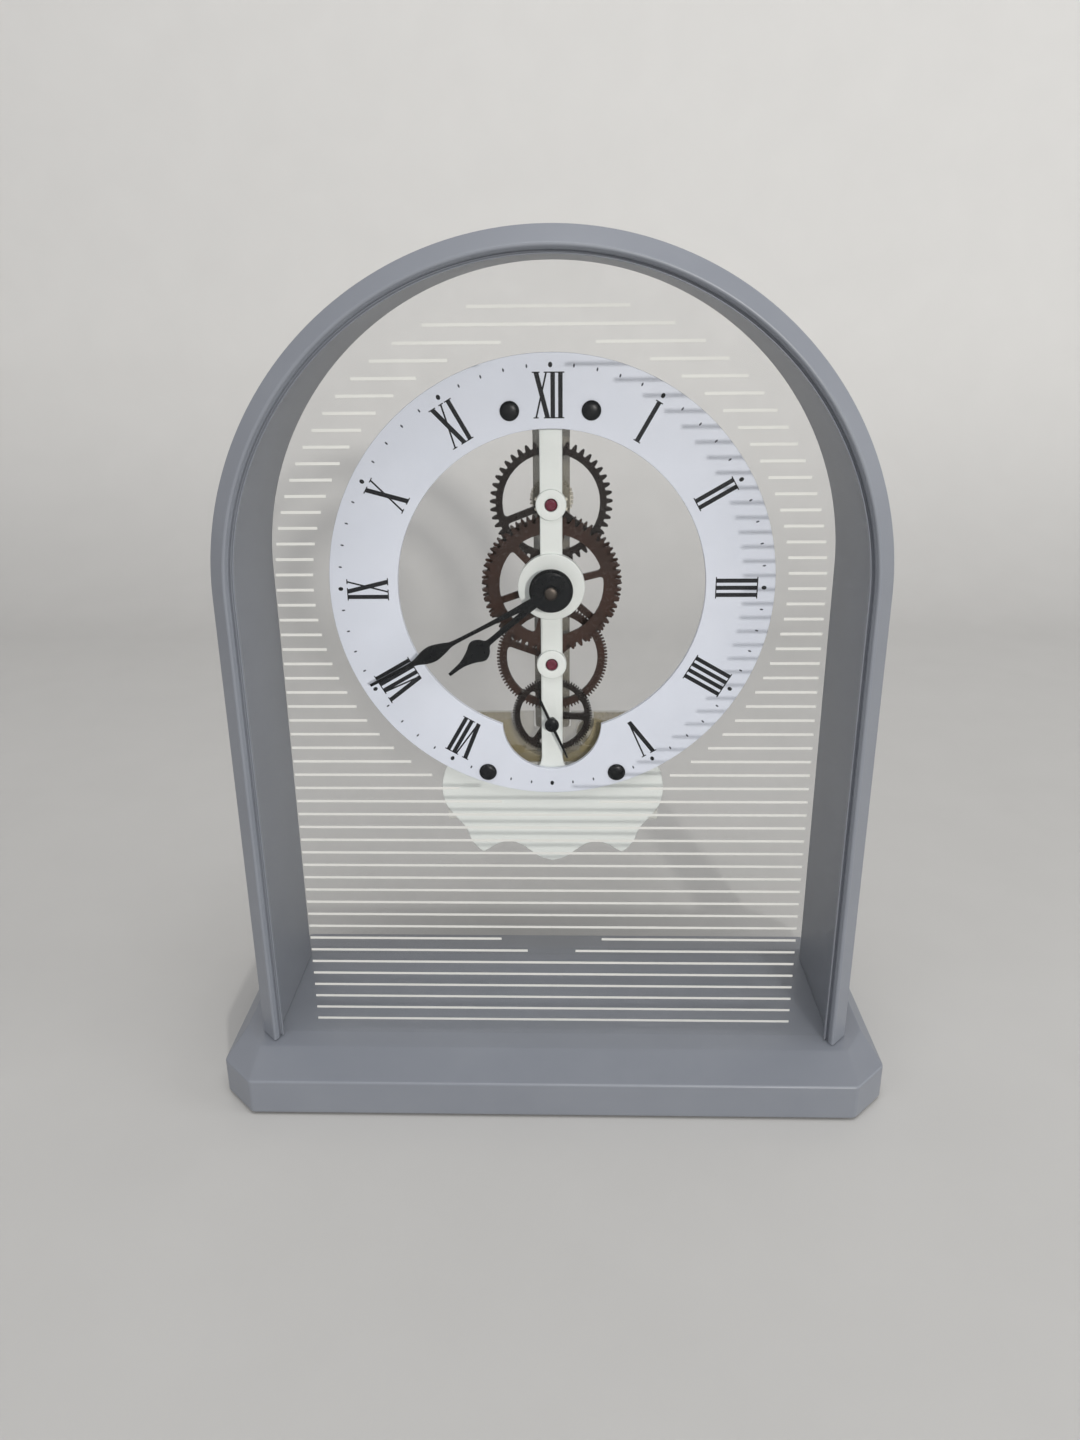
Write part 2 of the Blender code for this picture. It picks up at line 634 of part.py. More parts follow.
# Front plate: crossbar, vertical bar, bosses and the scalloped shroud in one moulding
def shroud_half():
    """Right half of the shroud's edge, from under the ring to the lowest point."""
    w = SHROUD_HALF_WIDTH
    t = SHROUD_TIP
    lobe = [(w - 1.9 * MM, -t + 28.4 * MM), (w - 0.6 * MM, -t + 25.0 * MM), (w, -t + 20.6 * MM),
            (w - 0.8 * MM, -t + 16.6 * MM), (w - 2.9 * MM, -t + 13.4 * MM), (w - 5.9 * MM, -t + 9.6 * MM)]
    point = [(w - 7.2 * MM, -t + 6.2 * MM), (w - 9.0 * MM, -t + 3.7 * MM), (w - 10.4 * MM, -t + 2.7 * MM),
             (w - 11.5 * MM, -t + 3.1 * MM)]
    hollow = [(w - 14.6 * MM, -t + 5.0 * MM), (w - 17.4 * MM, -t + 5.6 * MM), (w - 20.2 * MM, -t + 4.9 * MM)]
    centre = [(w - 23.2 * MM, -t + 2.8 * MM), (w - 25.8 * MM, -t + 0.9 * MM)]
    return lobe + point + hollow + centre


def make_front_plate(finish):
    bar = BAR_WIDTH / 2
    edge = 3.0 * MM
    top = UPPER_SCREW[1] + edge
    below = UPPER_SCREW[1] - edge
    arm = UPPER_SCREW[0] + edge
    shelf = LOWER_SCREW[1] + 3.1 * MM
    floor = SECONDS_AT[1] - NOTCH_RADIUS - 0.6 * MM
    right = [(arm, top), (arm, below), (bar, below), (bar, floor + 2.5 * MM), (bar + 1.2 * MM, floor),
             (12.0 * MM, floor), (13.5 * MM, shelf), (SHROUD_HALF_WIDTH - 5.0 * MM, shelf)]
    right += shroud_half()
    outline = right + [(0.0, -SHROUD_TIP)] + [(-x, z) for x, z in reversed(right)]
    holes = [circle(p, PILOT_RADIUS, 12) for p in screw_places(UPPER_SCREW) + screw_places(LOWER_SCREW)]
    plate = slab("front_plate", outline, PLATE_FRONT, PLATE_BACK, finish, holes)
    boss_front = PLATE_FRONT - BOSS_RISE
    fuse(plate, drum(CENTRE_BOSS, boss_front, PLATE_BACK, CENTRE_AT, 40))
    for at in (MINUTE_AT, THIRD_AT):
        fuse(plate, drum(JEWEL_BOSS, boss_front, PLATE_BACK, at, 28))
        cut(plate, drum(JEWEL_RADIUS + FIT, boss_front - MM, PLATE_BACK + MM, at, 16))
    cut(plate, drum(PIPE_OUTER + FIT, boss_front - MM, PLATE_BACK + MM, CENTRE_AT, 24))
    cut(plate, drum(ARBOR_RADIUS + FIT, PLATE_FRONT - MM, PLATE_BACK + MM, SECONDS_AT, 16))
    return plate


PIPE_INNER = CANNON_RADIUS + FIT
PIPE_OUTER = PIPE_INNER + PIPE_WALL
JEWEL_FRONT = PLATE_FRONT - BOSS_RISE - 0.2 * MM


def make_jewels(finish):
    for name, at in (("jewel_upper", MINUTE_AT), ("jewel_lower", THIRD_AT)):
        cup = JEWEL_FRONT + 0.8 * MM
        hole = PIVOT_RADIUS + FIT
        profile = [(0.0, JEWEL_FRONT), (0.8 * JEWEL_RADIUS, JEWEL_FRONT),
                   (JEWEL_RADIUS, JEWEL_FRONT + 0.25 * MM), (JEWEL_RADIUS, PLATE_BACK),
                   (hole, PLATE_BACK), (hole, cup), (0.0, cup)]
        turned(name, profile, finish, at, 16)


def make_rear_bridge(finish):
    half = STRIP_WIDTH / 2
    edge = PILLAR_RADIUS + 1.6 * MM
    top = UPPER_SCREW[1] + edge
    below = UPPER_SCREW[1] - edge
    arm = UPPER_SCREW[0] + edge
    foot = SECONDS_AT[1] - half
    right = [(arm, top), (arm, below), (half, below), (half, foot)]
    outline = right + [(-x, z) for x, z in reversed(right)]
    holes = [circle(p, PILLAR_RADIUS + FIT, 14) for p in screw_places(UPPER_SCREW)]
    for at, radius in ((MINUTE_AT, KNOB_ARBOR), (CENTRE_AT, ARBOR_RADIUS), (THIRD_AT, PIVOT_RADIUS),
                       (SECONDS_AT, PIVOT_RADIUS)):
        holes.append(circle(at, radius + FIT, 16))
    return slab("rear_bridge", outline, STRIP_FRONT, STRIP_BACK, finish, holes)


PILLAR_FRONT = PLATE_BACK + GAP
PILLAR_BACK = REAR_PANE_FRONT - GAP
BLIND_DEPTH = 3.2 * MM
KNOB_ARBOR = 1.2 * MM


def make_pillars(finish):
    index = 0
    hole = PILOT_RADIUS
    for place in screw_places(UPPER_SCREW):
        index += 1
        front_end = PILLAR_FRONT + BLIND_DEPTH
        back_end = PILLAR_BACK - BLIND_DEPTH
        profile = [(0.0, front_end), (hole, front_end), (hole, PILLAR_FRONT), (PILLAR_RADIUS, PILLAR_FRONT),
                   (PILLAR_RADIUS, PILLAR_BACK), (hole, PILLAR_BACK), (hole, back_end), (0.0, back_end)]
        turned(f"pillar_{index}", profile, finish, place, 14)


# Motor housing behind the ring's lower part
HOUSING_TOP = SECONDS_AT[1] - 0.45 * MM
HOUSING_FLOOR = HOUSING_TOP - HOUSING_HEIGHT
WELL_RADIUS = SECONDS_MODULE * (SECONDS_TEETH / 2 + 1) + WELL_CLEARANCE
KEEL = ((WELL_RADIUS + 2.1 * MM, HOUSING_FLOOR),
        (WELL_RADIUS - 1.9 * MM, SECONDS_AT[1] - WELL_RADIUS - WELL_WALL))      # under the well
EAR_RADIUS = 2.6 * MM
EARS = ((EAR_X, HOUSING_TOP - EAR_DROP), (-EAR_X, HOUSING_TOP - EAR_DROP))
CHAMBER_FRONT = HOUSING_FRONT + HOUSING_WALL
MOTOR_PIVOT = 0.3 * MM


def housing_outline(inset, half_width, corner, keel=()):
    x = half_width - inset
    low = HOUSING_FLOOR + inset
    high = HOUSING_TOP - inset
    right = [(x, high), (x, low + corner), (x - corner * 1.2, low), *keel]
    return right + [(-px, pz) for px, pz in reversed(right)]


def make_motor_case(finish):
    outline = housing_outline(0.0, HOUSING_HALF_WIDTH, HOUSING_CORNER, KEEL)
    case = slab("motor_case", outline, HOUSING_FRONT, HOUSING_BACK, finish)
    for ear in EARS:
        fuse(case, drum(EAR_RADIUS, HOUSING_FRONT, HOUSING_BACK, ear, 14))
        cut(case, drum(PILOT_RADIUS, HOUSING_BACK - BLIND_DEPTH, HOUSING_BACK + MM, ear, 12))
    inside = housing_outline(HOUSING_WALL, HOUSING_HALF_WIDTH - CHAMBER_MARGIN, CHAMBER_MARGIN)
    chamber = slab("tool", inside, CHAMBER_FRONT, HOUSING_BACK + MM)
    cut(chamber, drum(WELL_RADIUS + WELL_WALL, HOUSING_FRONT, HOUSING_BACK + 2 * MM, SECONDS_AT, 40))
    cut(case, chamber)
    pocket = MOTOR_MODULE * (INTERMEDIATE_TEETH / 2 + 1) + 0.4 * MM
    cut(case, drum(pocket, CHAMBER_FRONT, HOUSING_BACK + MM, INTERMEDIATE_AT, 20))
    cut(case, drum(WELL_RADIUS, HOUSING_FRONT - MM, HOUSING_BACK + MM, SECONDS_AT, 40))
    for at in (INTERMEDIATE_AT, ROTOR_AT):
        cut(case, drum(MOTOR_PIVOT + FIT, CHAMBER_FRONT - 0.6 * MM, CHAMBER_FRONT + 0.2 * MM, at, 8))
    return case


def make_motor_cover(finish):
    outline = housing_outline(0.0, HOUSING_HALF_WIDTH, HOUSING_CORNER, KEEL)
    cover = slab("motor_cover", outline, COVER_FRONT, COVER_BACK, finish)
    for ear in EARS:
        fuse(cover, drum(EAR_RADIUS, COVER_FRONT, COVER_BACK, ear, 14))
        cut(cover, drum(PILOT_RADIUS, COVER_FRONT - MM, COVER_BACK + MM, ear, 12))
    slot = STRIP_WIDTH / 2 + GAP
    cut(cover, block(-slot, slot, COVER_FRONT - MM, COVER_BACK + MM, SECONDS_AT[1] - slot, HOUSING_TOP + MM))
    for at in (INTERMEDIATE_AT, ROTOR_AT):
        cut(cover, drum(MOTOR_PIVOT + FIT, COVER_FRONT - MM, COVER_FRONT + 0.6 * MM, at, 8))
    return cover


# Stepping motor
MAGNET_RADIUS = 2.1 * MM
STATOR_FRONT = CHAMBER_FRONT + 0.4 * MM
STATOR_BACK = STATOR_FRONT + 0.8 * MM
CORE_FRONT = STATOR_BACK + GAP
CORE_BACK = CORE_FRONT + 1.0 * MM
CORE_HALF = 1.0 * MM
COIL_WALL = 1.1 * MM
STATOR_ARM = 2.2 * MM               # stator beyond the coil's outer end
STATOR_SPACE = 0.18 * MM
STATOR_END = HOUSING_HALF_WIDTH - CHAMBER_MARGIN - HOUSING_WALL - STATOR_SPACE
COIL_START = ROTOR_AT[0] + 5.4 * MM
COIL_END = STATOR_END - STATOR_ARM
CORE_Z = ROTOR_AT[1] - 1.7 * MM


def make_motor(iron, copper, board, chip):
    left = ROTOR_AT[0] - MAGNET_RADIUS - 1.8 * MM
    right = STATOR_END
    low = CORE_Z - 1.4 * MM
    high = HOUSING_TOP - HOUSING_WALL - 0.5 * MM
    window = CORE_Z + CORE_HALF + COIL_WALL + 0.4 * MM
    outline = [(left, low), (COIL_START - 0.4 * MM, low), (COIL_START - 0.4 * MM, window),
               (COIL_END + 0.4 * MM, window), (COIL_END + 0.4 * MM, low), (right - 1.0 * MM, low),
               (right, low + 1.0 * MM), (right, high), (left, high)]
    rotor_hole = circle(ROTOR_AT, MAGNET_RADIUS + 0.4 * MM, 20)
    slab("stator", outline, STATOR_FRONT, STATOR_BACK, iron, [rotor_hole])
    block(COIL_START - 2.0 * MM, COIL_END + 1.6 * MM, CORE_FRONT, CORE_BACK, CORE_Z - CORE_HALF,
          CORE_Z + CORE_HALF, "coil_core", iron)
    middle = (CORE_FRONT + CORE_BACK) / 2
    half = (CORE_BACK - CORE_FRONT) / 2
    coil = block(COIL_START, COIL_END, middle - half - COIL_WALL - GAP, middle + half + COIL_WALL + GAP,
                 CORE_Z - CORE_HALF - COIL_WALL, CORE_Z + CORE_HALF + COIL_WALL, "coil", copper)
    cut(coil, block(COIL_START - MM, COIL_END + MM, CORE_FRONT - FIT, CORE_BACK + FIT,
                    CORE_Z - CORE_HALF - FIT, CORE_Z + CORE_HALF + FIT))
    board_front = CHAMBER_FRONT + GAP
    edge = WELL_RADIUS + WELL_WALL + 0.8 * MM
    floor = HOUSING_FLOOR + HOUSING_WALL + 0.4 * MM
    block(-HOUSING_HALF_WIDTH + 6.5 * MM, -edge, board_front, board_front + 1.0 * MM, floor, high,
          "circuit_board", board)
    can = [(0.0, 0.0), (1.0 * MM, 0.0), (1.0 * MM, 6.0 * MM), (0.0, 6.0 * MM)]
    quartz = turned_upright("quartz_can", can, (0, 0, 0), chip, 12)
    can_depth = board_front + 1.0 * MM + GAP + 1.0 * MM
    quartz.location = dial_place((-edge - 10.0 * MM, (floor + high) / 2), can_depth)
    quartz.rotation_euler = (0.0, math.pi / 2, 0.0)


# Power supply
CELL_AT = (0.0, SECONDS_AT[1] - CELL_DROP)
TRAY_FRONT = PLATE_BACK + 0.9 * MM
TRAY_INSIDE = TRAY_FRONT + TRAY_WALL
CELL_DEPTH = TRAY_INSIDE + GAP + CELL_RADIUS
TRAY_BACK = CELL_DEPTH + CELL_RADIUS + 0.5 * MM
TRAY_HALF = CELL_LENGTH / 2 + CONTACT_SPACE + GAP
TRAY_FLOOR = CELL_AT[1] - CELL_RADIUS - GAP
BOSS_RADIUS = 2.4 * MM
TRAY_EAR = (14.0 * MM, TRAY_FLOOR - TRAY_WALL - 2.3 * MM)


def make_battery_tray(finish):
    outer = TRAY_HALF + TRAY_WALL
    low = TRAY_FLOOR - TRAY_WALL
    top = CELL_AT[1] + CELL_RADIUS
    tray = block(-outer, outer, TRAY_FRONT, TRAY_BACK, low, top + GAP, "battery_tray", finish)
    cut(tray, block(-TRAY_HALF, TRAY_HALF, TRAY_INSIDE, TRAY_BACK + MM, TRAY_FLOOR, top + MM))
    for place in screw_places(LOWER_SCREW):
        fuse(tray, drum(BOSS_RADIUS, TRAY_FRONT, TRAY_INSIDE + 1.5 * MM, place, 14))
        cut(tray, drum(PILOT_RADIUS, TRAY_FRONT - MM, TRAY_INSIDE + 1.1 * MM, place, 12))
    for place in screw_places(TRAY_EAR):
        fuse(tray, drum(EAR_RADIUS, PILLAR_BACK - BLIND_DEPTH - 1.5 * MM, PILLAR_BACK, place, 14))
        cut(tray, drum(PILOT_RADIUS, PILLAR_BACK - BLIND_DEPTH, PILLAR_BACK + MM, place, 12))
    return tray


def make_battery(finish, metal):
    nub = 1.3 * MM
    body = CELL_LENGTH - nub
    shoulder = CELL_RADIUS - 0.6 * MM
    nub_radius = 2.75 * MM
    profile = [(0.0, 0.0), (shoulder, 0.0), (CELL_RADIUS, 0.5 * MM), (CELL_RADIUS, body - 0.5 * MM),
               (shoulder, body), (nub_radius, body), (nub_radius, CELL_LENGTH), (0.0, CELL_LENGTH)]
    cell = turned_upright("battery_cell", profile, (0, 0, 0), finish, 24)
    cell.location = dial_place((-CELL_LENGTH / 2, CELL_AT[1]), CELL_DEPTH)
    cell.rotation_euler = (0.0, math.pi / 2, 0.0)
    for name, side in (("contact_plus", 1), ("contact_minus", -1)):
        wall = side * (TRAY_HALF - GAP)
        face = wall - side * CONTACT_STRIP
        low, high = sorted((wall, face))
        contact = block(low, high, CELL_DEPTH - 5.0 * MM, CELL_DEPTH + 5.0 * MM, CELL_AT[1] - 4.5 * MM,
                        CELL_AT[1] + 4.5 * MM, name, metal)
        tip = side * (CELL_LENGTH / 2 + GAP)
        low, high = sorted((face + side * 0.2 * MM, tip))
        fuse(contact, block(low, high, CELL_DEPTH - 2.0 * MM, CELL_DEPTH + 2.0 * MM, CELL_AT[1] - 2.0 * MM,
                            CELL_AT[1] + 2.0 * MM))


def make_rear_pane(finish):
    outline = pane_outline(CASE_INNER + REBATE - GAP)
    return slab("rear_pane", outline, REAR_PANE_FRONT, REAR_PANE_BACK, finish, rear_pane_holes())


def rear_pane_holes():
    outer = TRAY_HALF + TRAY_WALL + GAP
    low = TRAY_FLOOR - TRAY_WALL - GAP
    high = CELL_AT[1] + CELL_RADIUS + 2 * GAP
    holes = [[(-outer, low), (outer, low), (outer, high), (-outer, high)]]
    holes.append(circle(MINUTE_AT, KNOB_ARBOR + GAP, 16))
    for place in pane_screw_places():
        holes.append(circle(place, PILOT_RADIUS, 12))
    return holes


def pane_screw_places():
    return screw_places(UPPER_SCREW) + list(EARS) + screw_places(TRAY_EAR)


def make_pane_screws(finish):
    index = 0
    for place in pane_screw_places():
        index += 1
        length = REAR_PANE_BACK + GAP - PILLAR_BACK + BLIND_DEPTH - 0.4 * MM
        profile = screw_profile(HEAD_RADIUS, HEAD_HEIGHT, length)
        turned(f"pane_screw_{index}", [(r, REAR_PANE_BACK + GAP - d) for r, d in profile], finish, place, 12)


# Wheels and arbors
def arbor(profile, at, sides=12):
    """A solid shaft through (radius, depth) steps, closed at both ends."""
    points = [(0.0, profile[0][1])] + profile + [(0.0, profile[-1][1])]
    return turned("tool", points, None, at, sides)


SECOND_HAND_BACK = -RING_TO_HAND
SECOND_HAND_FRONT = SECOND_HAND_BACK - HAND_THICKNESS
HOUR_HAND_BACK = SECOND_HAND_FRONT - HAND_SPACE
HOUR_HAND_FRONT = HOUR_HAND_BACK - HAND_THICKNESS
MINUTE_HAND_BACK = HOUR_HAND_FRONT - HAND_SPACE
MINUTE_HAND_FRONT = MINUTE_HAND_BACK - HAND_THICKNESS
NUT_THICKNESS = 1.2 * MM


def make_motion_work(dark, pale, steel):
    cannon_tooth, minute_tooth, pinion_tooth, hour_tooth = motion_teeth()
    cannon = slab("cannon_pinion", pinion_outline(CANNON_TEETH, MINUTE_MODULE, cannon_tooth),
                  MINUTE_WHEEL_FRONT - 0.1 * MM, MINUTE_WHEEL_BACK + 0.1 * MM, dark)
    stub = CENTRE_WHEEL_BACK + 1.0 * MM
    nut_seat = MINUTE_HAND_FRONT - 0.9 * NUT_THICKNESS
    fuse(cannon, arbor([(CANNON_RADIUS - 0.5 * MM, nut_seat), (CANNON_RADIUS - 0.5 * MM, MINUTE_HAND_FRONT),
                        (CANNON_RADIUS, MINUTE_HAND_FRONT), (CANNON_RADIUS, stub)], CENTRE_AT))

    hour = spoked_wheel("hour_wheel", HOUR_WHEEL_TEETH, HOUR_MODULE, hour_tooth, 76.0, HOUR_WHEEL_FRONT,
                        HOUR_WHEEL_BACK, dark, CENTRE_AT, 4.4 * MM, (PIPE_INNER + PIPE_OUTER) / 2)
    pipe = [(PIPE_INNER, HOUR_HAND_FRONT), (PIPE_OUTER, HOUR_HAND_FRONT), (PIPE_OUTER, HOUR_WHEEL_BACK),
            (PIPE_INNER, HOUR_WHEEL_BACK)]
    fuse(hour, turned("tool", pipe, None, CENTRE_AT, 24, True))

    minute = spoked_wheel("minute_wheel", MINUTE_WHEEL_TEETH, MINUTE_MODULE, minute_tooth, 9.0,
                          MINUTE_WHEEL_FRONT, MINUTE_WHEEL_BACK, dark, MINUTE_AT)
    pivot_tip = JEWEL_FRONT + 1.1 * MM
    knob_end = REAR_PANE_BACK + 4.0 * MM
    fuse(minute, arbor([(PIVOT_RADIUS, pivot_tip), (PIVOT_RADIUS, PLATE_BACK + 0.2 * MM),
                        (KNOB_ARBOR, PLATE_BACK + 0.2 * MM), (KNOB_ARBOR, knob_end)], MINUTE_AT))

    pinion = pinion_outline(MINUTE_PINION_TEETH, HOUR_MODULE, pinion_tooth)
    slab("minute_pinion", pinion, HOUR_WHEEL_FRONT - 0.2 * MM, HOUR_WHEEL_BACK + 0.1 * MM, pale,
         [circle((0, 0), KNOB_ARBOR + FIT, 16)], MINUTE_AT)
    make_setting_knob(pale, knob_end + GAP)
    make_hand_nut(steel, nut_seat)


def make_setting_knob(finish, cup):
    """Pressed on the minute wheel's arbor behind the rear pane, with a blind hole as deep as the cup."""
    front = REAR_PANE_BACK + END_SHAKE
    back = front + KNOB_LENGTH
    neck = KNOB_RADIUS - 2.0 * MM
    hole = KNOB_ARBOR + FIT
    profile = [(hole, front), (neck, front), (neck, front + MM), (KNOB_RADIUS, front + 1.5 * MM),
               (KNOB_RADIUS, back - KNOB_EDGE), (KNOB_RADIUS - KNOB_EDGE, back), (0.0, back)]
    turned("setting_knob", [(0.0, cup), (hole, cup)] + profile, finish, MINUTE_AT, 24)


def make_hand_nut(finish, arbor_tip):
    front = MINUTE_HAND_FRONT - 0.1 * MM - NUT_THICKNESS
    back = MINUTE_HAND_FRONT - 0.1 * MM
    hole = CANNON_RADIUS - 0.5 * MM + FIT
    outer = CANNON_RADIUS + 0.3 * MM
    cup = arbor_tip - 0.05 * MM
    profile = [(0.0, front - 0.2 * MM), (outer - 0.4 * MM, front - 0.2 * MM), (outer, front + 0.2 * MM),
               (outer, back), (hole, back), (hole, cup), (0.0, cup)]
    turned("hand_nut", profile, finish, CENTRE_AT, 16)


def make_going_train(dark, magnet):
    (centre_tooth, third_pinion_tooth, third_tooth, seconds_pinion_tooth, seconds_tooth,
     intermediate_pinion_tooth, intermediate_tooth, rotor_tooth) = going_teeth()

    centre = spoked_wheel("centre_wheel", CENTRE_TEETH, CENTRE_MODULE, centre_tooth, 11.0,
                          CENTRE_WHEEL_FRONT, CENTRE_WHEEL_BACK, dark, CENTRE_AT)
    hub_back = STRIP_FRONT - GAP
    hub = 2.6 * MM
    fuse(centre, arbor([(hub, CENTRE_WHEEL_FRONT - FIT), (hub, hub_back), (ARBOR_RADIUS, hub_back),
                        (ARBOR_RADIUS, STRIP_BACK - FIT)], CENTRE_AT))
    socket = CENTRE_WHEEL_BACK + 1.0 * MM + FIT
    cut(centre, drum(CANNON_RADIUS + FIT, CENTRE_WHEEL_FRONT - MM, socket, CENTRE_AT, 16))

    third = spoked_wheel("third_wheel", THIRD_TEETH, THIRD_MODULE, third_tooth, 50.0, THIRD_WHEEL_FRONT,
                         THIRD_WHEEL_BACK, dark, THIRD_AT, 3.0 * MM)
    fuse(third, slab("tool", pinion_outline(THIRD_PINION_TEETH, CENTRE_MODULE, third_pinion_tooth),
                     CENTRE_WHEEL_FRONT - 0.1 * MM, THIRD_WHEEL_FRONT + 0.2 * MM, None, (), THIRD_AT))
    fuse(third, arbor([(PIVOT_RADIUS, JEWEL_FRONT + 1.1 * MM), (PIVOT_RADIUS, PLATE_BACK + 0.2 * MM),
                       (ARBOR_RADIUS, PLATE_BACK + 0.2 * MM), (ARBOR_RADIUS, STRIP_FRONT - 0.2 * MM),
                       (PIVOT_RADIUS, STRIP_FRONT - 0.2 * MM), (PIVOT_RADIUS, STRIP_BACK - FIT)], THIRD_AT))

    seconds_back = CENTRE_WHEEL_FRONT + 0.8 * MM
    seconds = spoked_wheel("seconds_wheel", SECONDS_TEETH, SECONDS_MODULE, seconds_tooth, 92.0,
                           CENTRE_WHEEL_FRONT, seconds_back, dark, SECONDS_AT, 2.6 * MM)
    fuse(seconds, slab("tool", pinion_outline(SECONDS_PINION_TEETH, THIRD_MODULE, seconds_pinion_tooth),
                       seconds_back - 0.2 * MM, THIRD_WHEEL_BACK + 0.1 * MM, None, (), SECONDS_AT))
    shaft = ARBOR_RADIUS - FIT
    fuse(seconds, arbor([(shaft, SECOND_HAND_FRONT + 0.2 * MM), (shaft, STRIP_FRONT - 0.2 * MM),
                         (PIVOT_RADIUS, STRIP_FRONT - 0.2 * MM), (PIVOT_RADIUS, STRIP_BACK - FIT)],
                        SECONDS_AT))

    wheel_back = HOUSING_BACK - 0.5 * MM
    wheel_front = wheel_back - 0.7 * MM
    middle = slab("intermediate_wheel", wheel_outline(INTERMEDIATE_TEETH, MOTOR_MODULE, intermediate_tooth),
                  wheel_front, wheel_back, dark, (), INTERMEDIATE_AT)
    pinion = pinion_outline(INTERMEDIATE_PINION_TEETH, SECONDS_MODULE, intermediate_pinion_tooth)
    fuse(middle, slab("tool", pinion, CENTRE_WHEEL_FRONT - FIT, wheel_front + 0.2 * MM, None, (),
                      INTERMEDIATE_AT))
    shaft = [(MOTOR_PIVOT, CHAMBER_FRONT - 0.5 * MM), (MOTOR_PIVOT, COVER_FRONT + 0.5 * MM)]
    fuse(middle, arbor(shaft, INTERMEDIATE_AT, 8))

    rotor = slab("rotor", pinion_outline(ROTOR_PINION_TEETH, MOTOR_MODULE, rotor_tooth),
                 STATOR_BACK + 0.9 * MM, wheel_back + FIT, magnet, (), ROTOR_AT)
    fuse(rotor, drum(MAGNET_RADIUS, STATOR_FRONT - 0.1 * MM, STATOR_BACK + 1.1 * MM, ROTOR_AT, 20))
    fuse(rotor, arbor(shaft, ROTOR_AT, 8))


# Hands
def hand_outline(angle, stations):
    """Stations along the hand: distance from the pivot and half width."""
    ux, uz = bearing(angle)
    left = [(d * ux - w * uz, d * uz + w * ux) for d, w in stations]
    right = [(d * ux + w * uz, d * uz - w * ux) for d, w in reversed(stations)]
    return left + right


def hub_and_blade(angle, hub, stations):
    """A round hub whose outline opens into the blade."""
    root = math.degrees(math.asin(stations[0][1] / hub))
    around = arc((0, 0), hub, angle + root, angle + 360.0 - root, 30)
    return around + hand_outline(angle, stations)


def make_hour_hand(finish):
    angle = hand_angles()[0]
    length = HOUR_HAND_LENGTH
    blade = [(0.2 * length, 0.85 * MM), (0.58 * length, 0.72 * MM), (0.62 * length, 0.85 * MM),
             (0.65 * length, 2.2 * MM), (0.69 * length, 2.85 * MM), (0.73 * length, 2.8 * MM),
             (0.78 * length, 1.85 * MM), (0.86 * length, 0.85 * MM), (length, 0.4 * MM)]
    outline = hub_and_blade(angle, HUB_RADIUS, blade)
    hole = circle((0, 0), PIPE_OUTER + FIT, 24)
    slab("hour_hand", outline, HOUR_HAND_FRONT, HOUR_HAND_BACK, finish, [hole])


def make_minute_hand(finish):
    angle = hand_angles()[1]
    length = MINUTE_HAND_LENGTH
    blade = [(0.13 * length, 1.0 * MM), (0.2 * length, 0.75 * MM), (0.36 * length, 0.5 * MM),
             (0.53 * length, 0.55 * MM), (0.58 * length, 1.2 * MM), (0.64 * length, 2.0 * MM),
             (0.69 * length, 1.75 * MM), (0.76 * length, 0.66 * MM), (length, 0.35 * MM)]
    outline = hub_and_blade(angle, HUB_RADIUS - 0.5 * MM, blade)
    slab("minute_hand", outline, MINUTE_HAND_FRONT, MINUTE_HAND_BACK, finish,
         [circle((0, 0), CANNON_RADIUS + FIT, 16)])


def make_second_hand(finish):
    angle = hand_angles()[2]
    hole = circle((0, 0), ARBOR_RADIUS, 16)
    hub = 1.8 * MM
    half = 0.35 * MM
    root = math.degrees(math.asin(half / hub))
    near = hub * math.cos(math.radians(root))
    right = arc((0, 0), hub, angle + root, angle + 180.0 - root, 8)
    left = arc((0, 0), hub, angle + 180.0 + root, angle + 360.0 - root, 8)
    tail = hand_outline(angle + 180.0, [(near, half), (SECOND_TAIL_LENGTH, half)])[1:3]
    tip = hand_outline(angle, [(near, half), (SECOND_HAND_LENGTH, 0.2 * MM)])[1:3]
    slab("second_hand", right + tail + left + tip, SECOND_HAND_FRONT, SECOND_HAND_BACK, finish, [hole],
         SECONDS_AT)


